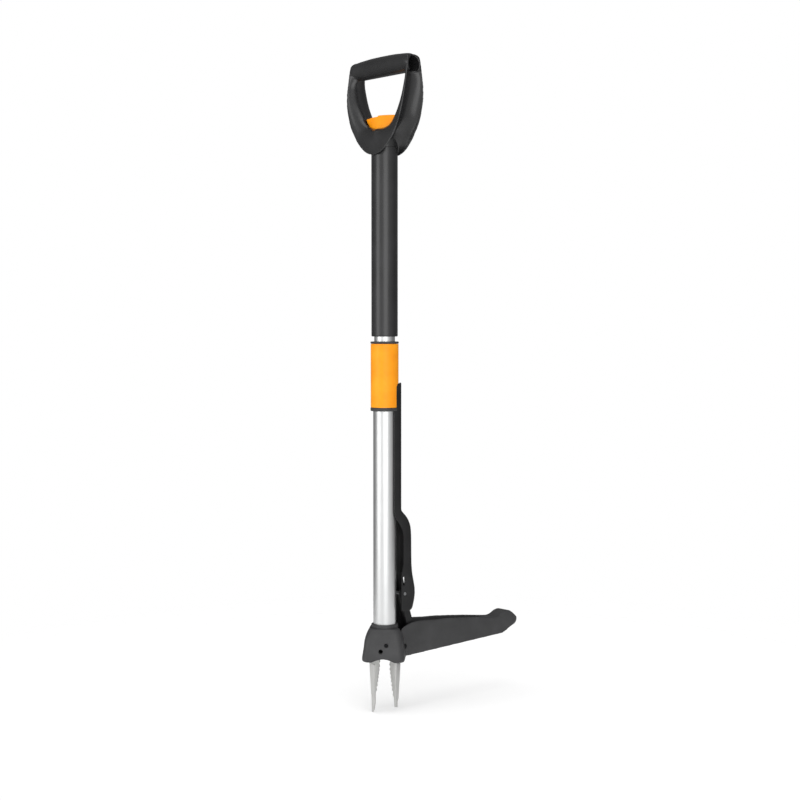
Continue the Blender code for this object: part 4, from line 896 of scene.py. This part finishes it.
# Toe and foot pad, back from the tip
PEDAL_TOE = (
    (30.8, 91.8),
    (20.8, 96.4),
    (13.6, 99.4),
    (8.0, 101.6),
    (4.2, 104.2),
    (2.2, 107.2),
    (1.8, 109.8),
    (3.6, 112.4),
    (8.0, 115.6),
    (13.0, 119.4),
    (18.0, 122.8),
    (23.0, 124.7),
    (28.0, 125.0),
    (33.5, 123.8),
    (39.0, 121.2),
    (45.0, 118.6),
    (52.0, 117.6),
    (62.0, 118.4),
    (73.8, 119.8),
    (101.8, 123.2),
)
PEDAL_TOP = ((118.0, 128.3), (91.0, 129.6), (70.0, 131.3), (47.0, 132.0), (35.0, 130.6), (24.0, 127.2))
PEDAL_HEAD = ((13.0, 121.5), (6.0, 116.0))
PEDAL_TIP_X = span("pedal_housing")[1].x
PAD_X = PEDAL_TIP_X - 48.8
HEAD_HALF = 19.6
PAD_HALF = 12.5
PEDAL_WALL = 2.8
CHANNEL_END = PEDAL_TIP_X - 73.8
# Height of the bell, and the distance of its flats from the shaft's axis
BELL = (
    (78.0, 30.4),
    (79.2, 31.5),
    (82.6, 32.4),
    (91.6, 31.2),
    (100.6, 29.85),
    (109.6, 28.9),
    (118.7, 26.4),
    (123.0, 24.5),
    (127.0, 22.6),
)
BELL_WALL = 3.0
BELL_CORNER = 10.0
COLLAR_R = 20.4
PIVOT = (24.0, 97.0)
LINK_FOOT = (44.0, 113.0)
ARCH_R = 28.8
ARCH_TOP = 83.2
FACES = (225, 135)
PEDAL_CELL = 1.0
CHANNEL_FLOOR = 84.7
# How much narrower than the pad the tip gets, back from the tip
TIP_PLAN = ((11.8, 0.8), (5.0, 2.4), (-3.0, 6.0))
BELL_ROOM_R = 31.5
BELL_ROOM_TOP = (124.0, 23.9)
BOSS_R = 6.5
PIVOT_HOLE_R = 3.9
# In each face of the bell: distance beside its middle, height and radius
ROUND_HOLE = (-3.4, 94.6, 3.2)
SCREW_HOLE = (4.8, 103.6, 1.8)
SCREW_SEAT = (4.8, 103.6, 3.3)
SEAT_FLOOR = 28.3


def half_width(x):
    """Half the pedal's width at a distance from the shaft."""
    return HEAD_HALF + (PAD_HALF - HEAD_HALF) * (x - 25.0) / (PAD_X - 25.0)


def bell_ring(z, apothem, corner):
    """A rounded square with its corners towards the pedal, the back and the sides."""
    reach = (apothem - corner) * math.sqrt(2)
    ring = []
    for turn in (0, 90, 180, 270):
        way = math.radians(turn)
        ring += quarter((reach * math.cos(way), reach * math.sin(way)), corner, turn - 45, turn + 45)
    return [(x, y, z) for x, y in ring]


def face_drill(name, degrees, shift, z, radius, start, end):
    """A drill through a flat of the bell, beside the flat's middle."""
    way = math.radians(degrees)
    out, along = Vector((math.cos(way), math.sin(way), 0)), Vector((-math.sin(way), math.cos(way), 0))
    ends = [out * reach + along * shift + Vector((0, 0, z)) for reach in (start, end)]
    return done(cylinder(name, *ends, radius, 40))


outline = list(PEDAL_UNDER) + between([(PEDAL_TIP_X - x, z) for x, z in PEDAL_TOE] + list(PEDAL_TOP), 4)
pedal = side_plate("moulded_pedal", outline + list(PEDAL_HEAD), -30, 30)
tip_plan = [(PEDAL_TIP_X - x, PAD_HALF - narrower) for x, narrower in TIP_PLAN]
plan = [(0.0, half_width(0.0)), (PAD_X, PAD_HALF)] + tip_plan
cut(pedal, plan_plate("pedal_plan", plan + [(x, -y) for x, y in reversed(plan)], 40, 160), "INTERSECT")
cut(pedal, sweep("bell", [bell_ring(z, a, BELL_CORNER) for z, a in between(BELL, 2)]), "UNION")
room = [(z, max(a, BELL_ROOM_R) if z < BELL[1][0] else a) for z, a in between(BELL, 2)]
room = [(z, a) for z, a in room if z < BELL_ROOM_TOP[0]]
room = [(70.0, BELL_ROOM_R)] + room + [BELL_ROOM_TOP]
cut(pedal, sweep("bell_room", [bell_ring(z, a - BELL_WALL, BELL_CORNER - BELL_WALL) for z, a in room]))

(head_x, head_z), (toe_x, toe_z) = PEDAL_UNDER[1:]
slope = (toe_z - head_z) / (toe_x - head_x)
floor_end = CHANNEL_FLOOR + slope * (CHANNEL_END - head_x)
hollow = [(10.0, CHANNEL_FLOOR), (head_x, CHANNEL_FLOOR), (CHANNEL_END - 6, floor_end)]
hollow += [(CHANNEL_END - 1.5, floor_end + 3.5), (CHANNEL_END, floor_end + 8)]
hollow += [(CHANNEL_END, 150), (10.0, 150)]
channel_room = side_plate("channel_room", hollow, -30, 30)
walls = [(x, half_width(x) - PEDAL_WALL) for x in (0.0, CHANNEL_END + 5)]
walls = walls + [(x, -y) for x, y in reversed(walls)]
cut(channel_room, plan_plate("channel_plan", walls, 40, 160), "INTERSECT")
cut(pedal, channel_room)
rim = quarter((7.8, 0), COLLAR_R + 0.6, -90, 90, 24) + quarter((0, 0), COLLAR_R + 0.6, 90, 270, 24)
cut(pedal, plan_plate("rim_room", rim, 104.5, 160))
for side in (-1, 1):
    ends = [(PIVOT[0], side * y, PIVOT[1]) for y in (9.5, half_width(PIVOT[0]) - 1.4)]
    cut(pedal, done(cylinder("pivot_boss", *ends, BOSS_R, 40)), "UNION")
cut(pedal, across("pivot_hole", PIVOT, 30, PIVOT_HOLE_R))
cut(pedal, across("link_socket", LINK_FOOT, half_width(LINK_FOOT[0]) - 1.2, PIN_HOLE_R))
for degrees in FACES:
    way = math.radians(degrees)
    side = [60 * math.cos(way), 60 * math.sin(way)]
    z = ARCH_TOP - ARCH_R
    arch = cylinder("arch", (side[0], side[1], z), (-side[0], -side[1], z), ARCH_R, 96)
    cut(pedal, done(arch))
    cut(pedal, face_drill("round_hole", degrees, *ROUND_HOLE, 20, 40))
    cut(pedal, face_drill("screw_hole", degrees, *SCREW_HOLE, 20, 40))
    cut(pedal, face_drill("screw_seat", degrees, *SCREW_SEAT, SEAT_FLOOR, 40))
mould(pedal, PEDAL_CELL, 4)
finished(pedal, charcoal, "pedal", "pedal_housing", angle=60)

# %% [markdown]
# ## Small mouldings
#
# The foot in the tube's end, the link, the plunger, the claw carrier, the collet and the wedge keep
# their CAD form. Each is copied, its triangles are joined, and an even smoothed skin rounds its
# edges. The carrier also has a blind hole behind each round hole of the bell, so that the hole
# looks deep and dark.

# %% Small mouldings
# Node, new piece, material, body and size of the skin's cells
SMALL = (
    ("shaft_foot", "moulded_foot", charcoal, "shaft", 0.6),
    ("ejector_link", "moulded_link", black, "link", 0.5),
    ("plunger", "moulded_plunger", black, "plunger", 0.5),
    ("claw_carrier", "moulded_carrier", black, "pedal", 0.6),
    ("lock_collet", "split_collet", natural, "telescope", 0.5),
    ("lock_wedge", "turned_wedge", black, "button", 0.5),
)
BLIND_NARROWER = 0.4
BLIND_FLOOR = 14
shift, hole_z, hole_r = ROUND_HOLE
for node, name, material, body, cell in SMALL:
    piece = mould(copy_of(node, name), cell, 3)
    if node == "claw_carrier":
        for degrees in FACES:
            blind = (shift, hole_z, hole_r - BLIND_NARROWER)
            cut(piece, face_drill("blind_hole", degrees, *blind, BLIND_FLOOR, 40))
    finished(piece, material, body, node, angle=60)

# %% [markdown]
# ## Claws
#
# Each claw is a stamped plate with saw teeth along its inner edge and a stiffening flange turned
# over along its outer one. Its outline is filled and extruded, the flange is swept down its back,
# and the edges get the small radius that blasting leaves. A long and a short claw are modelled, and
# each is copied twice and turned to its side.

# %% Claws
CLAW_PIVOT = (30.0, 84.0)
CLAW_THICK = 2.2
CLAW_TOP_R = 27.0
CLAW_TIP_R = 24.5
CLAW_SHOULDER = 76.0
CLAW_HOLE_R = 2.3
CLAW_EYE_R = 4.3
LONG_TIP, SHORT_TIP = 0.0, 8.0
TOOTH_PITCH = 7.0
TOOTH = 2.2
TOOTH_RISE = 0.7
INNER_EDGE = ((13.7, 76.0), (14.7, 60.0), (16.9, 47.0), (19.2, 34.0), (22.3, 18.0))
# Height and width of the flange from the tip upwards
FLANGE = ((0.6, 1.4), (5.0, 3.6), (15.0, 6.5), (74.0, 8.5))
FLANGE_TIP_THICK = 0.9


def toothed(points):
    """An edge from top to tip, broken into saw teeth."""
    out = [points[0]]
    for (r0, z0), (r1, z1) in zip(points, points[1:]):
        count = max(1, round(math.hypot(r1 - r0, z1 - z0) / TOOTH_PITCH))
        for i in range(count):
            share, end = (i + TOOTH_RISE) / count, (i + 1) / count
            out.append((r0 + (r1 - r0) * share - TOOTH, z0 + (z1 - z0) * share))
            out.append((r0 + (r1 - r0) * end, z0 + (z1 - z0) * end))
    return out


def make_claw(name, tip_z):
    """The claw on the pedal's side, with its tip at a height."""

    def lifted(z):
        return CLAW_SHOULDER - (CLAW_SHOULDER - z) * (CLAW_SHOULDER - tip_z) / CLAW_SHOULDER

    edge = toothed([(r, lifted(z)) for r, z in between(INNER_EDGE, 1)])
    edge += [(23.4, lifted(5.0)), (CLAW_TIP_R - 0.5, lifted(0.0)), (CLAW_TIP_R, lifted(1.0))]
    edge += [(CLAW_TOP_R, 75.0), (CLAW_TOP_R + 2.0, 79.7)] + quarter(CLAW_PIVOT, CLAW_EYE_R, -75, 105, 16)
    edge += [(13.0, 86.0)] + quarter((8.0, 84.0), 2.0, 90, 270, 12) + [(13.0, 82.0), (14.6, 80.0)]
    half = CLAW_THICK / 2
    claw = side_plate(name, edge, -half, half)
    cut(claw, across("claw_hole", CLAW_PIVOT, 10, CLAW_HOLE_R))
    rings = []
    for z, wide in FLANGE:
        outer = CLAW_TIP_R + (CLAW_TOP_R - CLAW_TIP_R) * (z - 1) / 74
        inner = outer - (CLAW_THICK if z >= 5 else FLANGE_TIP_THICK)
        ring = [(inner, half / 2), (outer, half / 2), (outer, wide), (inner, wide)]
        rings.append([(x, y, lifted(z)) for x, y in ring])
    cut(claw, sweep("flange", rings), "UNION")
    return soften(claw, 0.3, 2, 40)


long_claw = make_claw("long_claw", LONG_TIP)
short_claw = make_claw("short_claw", SHORT_TIP)
PLACES = (
    ("rear", 0, long_claw),
    ("left", 90, short_claw),
    ("front", 180, long_claw),
    ("right", 270, short_claw),
)
for name, degrees, model in PLACES:
    claw = twin(model, f"toothed_claw_{name}")
    only(claw)
    bpy.ops.object.mode_set(mode="EDIT")
    bpy.ops.mesh.select_all(action="SELECT")
    bpy.ops.transform.rotate(
        value=-math.radians(degrees),
        orient_axis="Z",
        orient_type="GLOBAL",
        center_override=at(0, 0, 0),
    )
    bpy.ops.object.mode_set(mode="OBJECT")
    finished(claw, stainless, f"claw_{name}", f"claw_{name}")
for model in (long_claw, short_claw):
    bpy.data.objects.remove(model)

# %% [markdown]
# ## Camera
#
# A long lens stands about 2.4 m away, a little above the sleeve, on the side of the shaft that is
# away from the pedal and towards the D's right arm, so that the pedal runs off to the right.

# %% Camera
EYE = (-1507.0, -1813.4, 580.1)
YAW = math.radians(49.71)
PITCH = math.radians(2.65)
LENS = 70.55

camera_data = bpy.data.cameras.new("camera")
camera_data.lens = LENS
camera_data.sensor_width = 36.0
camera_data.clip_end = 100.0
camera = bpy.data.objects.new("camera", camera_data)
bpy.context.scene.collection.objects.link(camera)
camera.location = at(*EYE)
camera.rotation_euler = (math.pi / 2 - PITCH, 0.0, YAW - math.pi / 2)
bpy.context.scene.camera = camera
print("camera", [round(v, 3) for v in camera.location], "lens", LENS)

# %% [markdown]
# ## Floor and light
#
# A white studio. The camera sees a white world. Reflections see a room that is pale on the camera's
# side and dark beyond both sides of it, which gives tubes their dark edges, and a third, even level
# lights the colours. Two wide soft lamps stand left of the camera and just right of it, and a weak
# one overhead. The floor is white paper: the camera sees it a little lifted, and it keeps the shadow.

# %% Studio
ROOM_FRONT = Vector((-0.763, -0.647, 0.0))
ROOM_START = -0.25
ROOM_SEEN = (0.16, 0.8)
LIGHT_START = -1.0
LIGHT_FRONT = Vector((-0.906, -0.423, 0.0))
ROOM_LIGHT = (0.3, 1.14)
FLOOR_LIFT = 0.25
FLOOR_SIZE = 6.0
FLOOR_SOLID = 0.3
FLOOR_GONE = 1.0
FIBRE_SIZE = 6
bpy.context.scene.view_settings.view_transform = "Standard"

world = bpy.data.worlds.new("studio")
bpy.context.scene.world = world
world.use_nodes = True
tree = world.node_tree
background = tree.nodes["Background"]
background.inputs["Color"].default_value = (1.0, 1.0, 1.0, 1.0)
rays = add(tree, "ShaderNodeLightPath")
look = add(tree, "ShaderNodeTexCoord")


def room_level(front, start, levels):
    """A level that rises across the room towards one side."""
    facing = add(
        tree,
        "ShaderNodeVectorMath",
        {1: front},
        {0: look.outputs["Generated"]},
        operation="DOT_PRODUCT",
    )
    return add(
        tree,
        "ShaderNodeMapRange",
        {1: start, 2: 1.0, 3: levels[0], 4: levels[1]},
        {0: facing.outputs["Value"]},
    )


light = room_level(LIGHT_FRONT, LIGHT_START, ROOM_LIGHT)
seen = room_level(ROOM_FRONT, ROOM_START, ROOM_SEEN)
mirrored = add(
    tree,
    "ShaderNodeMath",
    links={0: rays.outputs["Is Glossy Ray"], 1: rays.outputs["Is Transmission Ray"]},
    operation="MAXIMUM",
)
inside = add(
    tree,
    "ShaderNodeMix",
    links={0: mirrored.outputs["Value"], 2: light.outputs["Result"], 3: seen.outputs["Result"]},
    data_type="FLOAT",
)
level = add(
    tree,
    "ShaderNodeMix",
    {3: 1.0},
    {0: rays.outputs["Is Camera Ray"], 2: inside.outputs["Result"]},
    data_type="FLOAT",
)
tree.links.new(level.outputs["Result"], background.inputs["Strength"])

bpy.ops.mesh.primitive_plane_add(size=FLOOR_SIZE, location=(0.0, 0.0, 0.0))
floor = bpy.context.object
floor.name = "floor"
floor_material, tree, shader, place = new_material("white_paper_sweep", Roughness=0.9, Specular_IOR_Level=0.0)
fibre = add(tree, "ShaderNodeTexNoise", {"Scale": per_mm(FIBRE_SIZE), "Detail": 2.0}, {"Vector": place})
paper = ramp(tree, fibre.outputs["Fac"], (0.3, "F4F4F4"), (0.7, "F7F7F7"))
tree.links.new(paper, shader.inputs["Base Color"])
reach = add(tree, "ShaderNodeVectorMath", links={0: place}, operation="LENGTH")
fade = add(
    tree,
    "ShaderNodeMapRange",
    {1: FLOOR_SOLID, 2: FLOOR_GONE, 3: 0.0, 4: 1.0},
    {0: reach.outputs["Value"]},
    interpolation_type="SMOOTHSTEP",
)
rays = add(tree, "ShaderNodeLightPath")
lift = add(tree, "ShaderNodeMath", {1: FLOOR_LIFT}, {0: rays.outputs["Is Camera Ray"]}, operation="MULTIPLY")
glow = add(tree, "ShaderNodeEmission", {"Color": (1.0, 1.0, 1.0, 1.0)}, {"Strength": lift.outputs["Value"]})
lifted = add(tree, "ShaderNodeAddShader", links={0: shader.outputs["BSDF"], 1: glow.outputs["Emission"]})
clear = add(tree, "ShaderNodeBsdfTransparent")
blend = add(
    tree,
    "ShaderNodeMixShader",
    links={0: fade.outputs["Result"], 1: lifted.outputs["Shader"], 2: clear.outputs["BSDF"]},
)
output = tree.nodes["Material Output"]
tree.links.new(blend.outputs["Shader"], output.inputs["Surface"])
dress(floor, floor_material)


def soft_lamp(name, place, aim, size, power):
    """A rectangular lamp at a place in metres, turned towards a point, with its power in watts."""
    data = bpy.data.lights.new(name, "AREA")
    data.shape = "RECTANGLE"
    data.size, data.size_y = size
    data.energy = power
    lamp = bpy.data.objects.new(name, data)
    bpy.context.scene.collection.objects.link(lamp)
    lamp.location = place
    lamp.rotation_euler = (Vector(aim) - Vector(place)).to_track_quat("-Z", "Y").to_euler()
    return lamp


MIDDLE = at(30.0, 0.0, 480.0)
soft_lamp("left_box", (-2.7, 0.45, 0.8), MIDDLE, (1.3, 2.6), 15.5)
soft_lamp("front_box", (-1.4, -2.3, 0.8), MIDDLE, (1.7, 2.6), 17.5)
soft_lamp("top_box", (-0.3, -0.3, 3.0), MIDDLE, (1.6, 1.6), 10.0)
print("room seen at", ROOM_SEEN, "and lighting at", ROOM_LIGHT, "with 3 lamps")
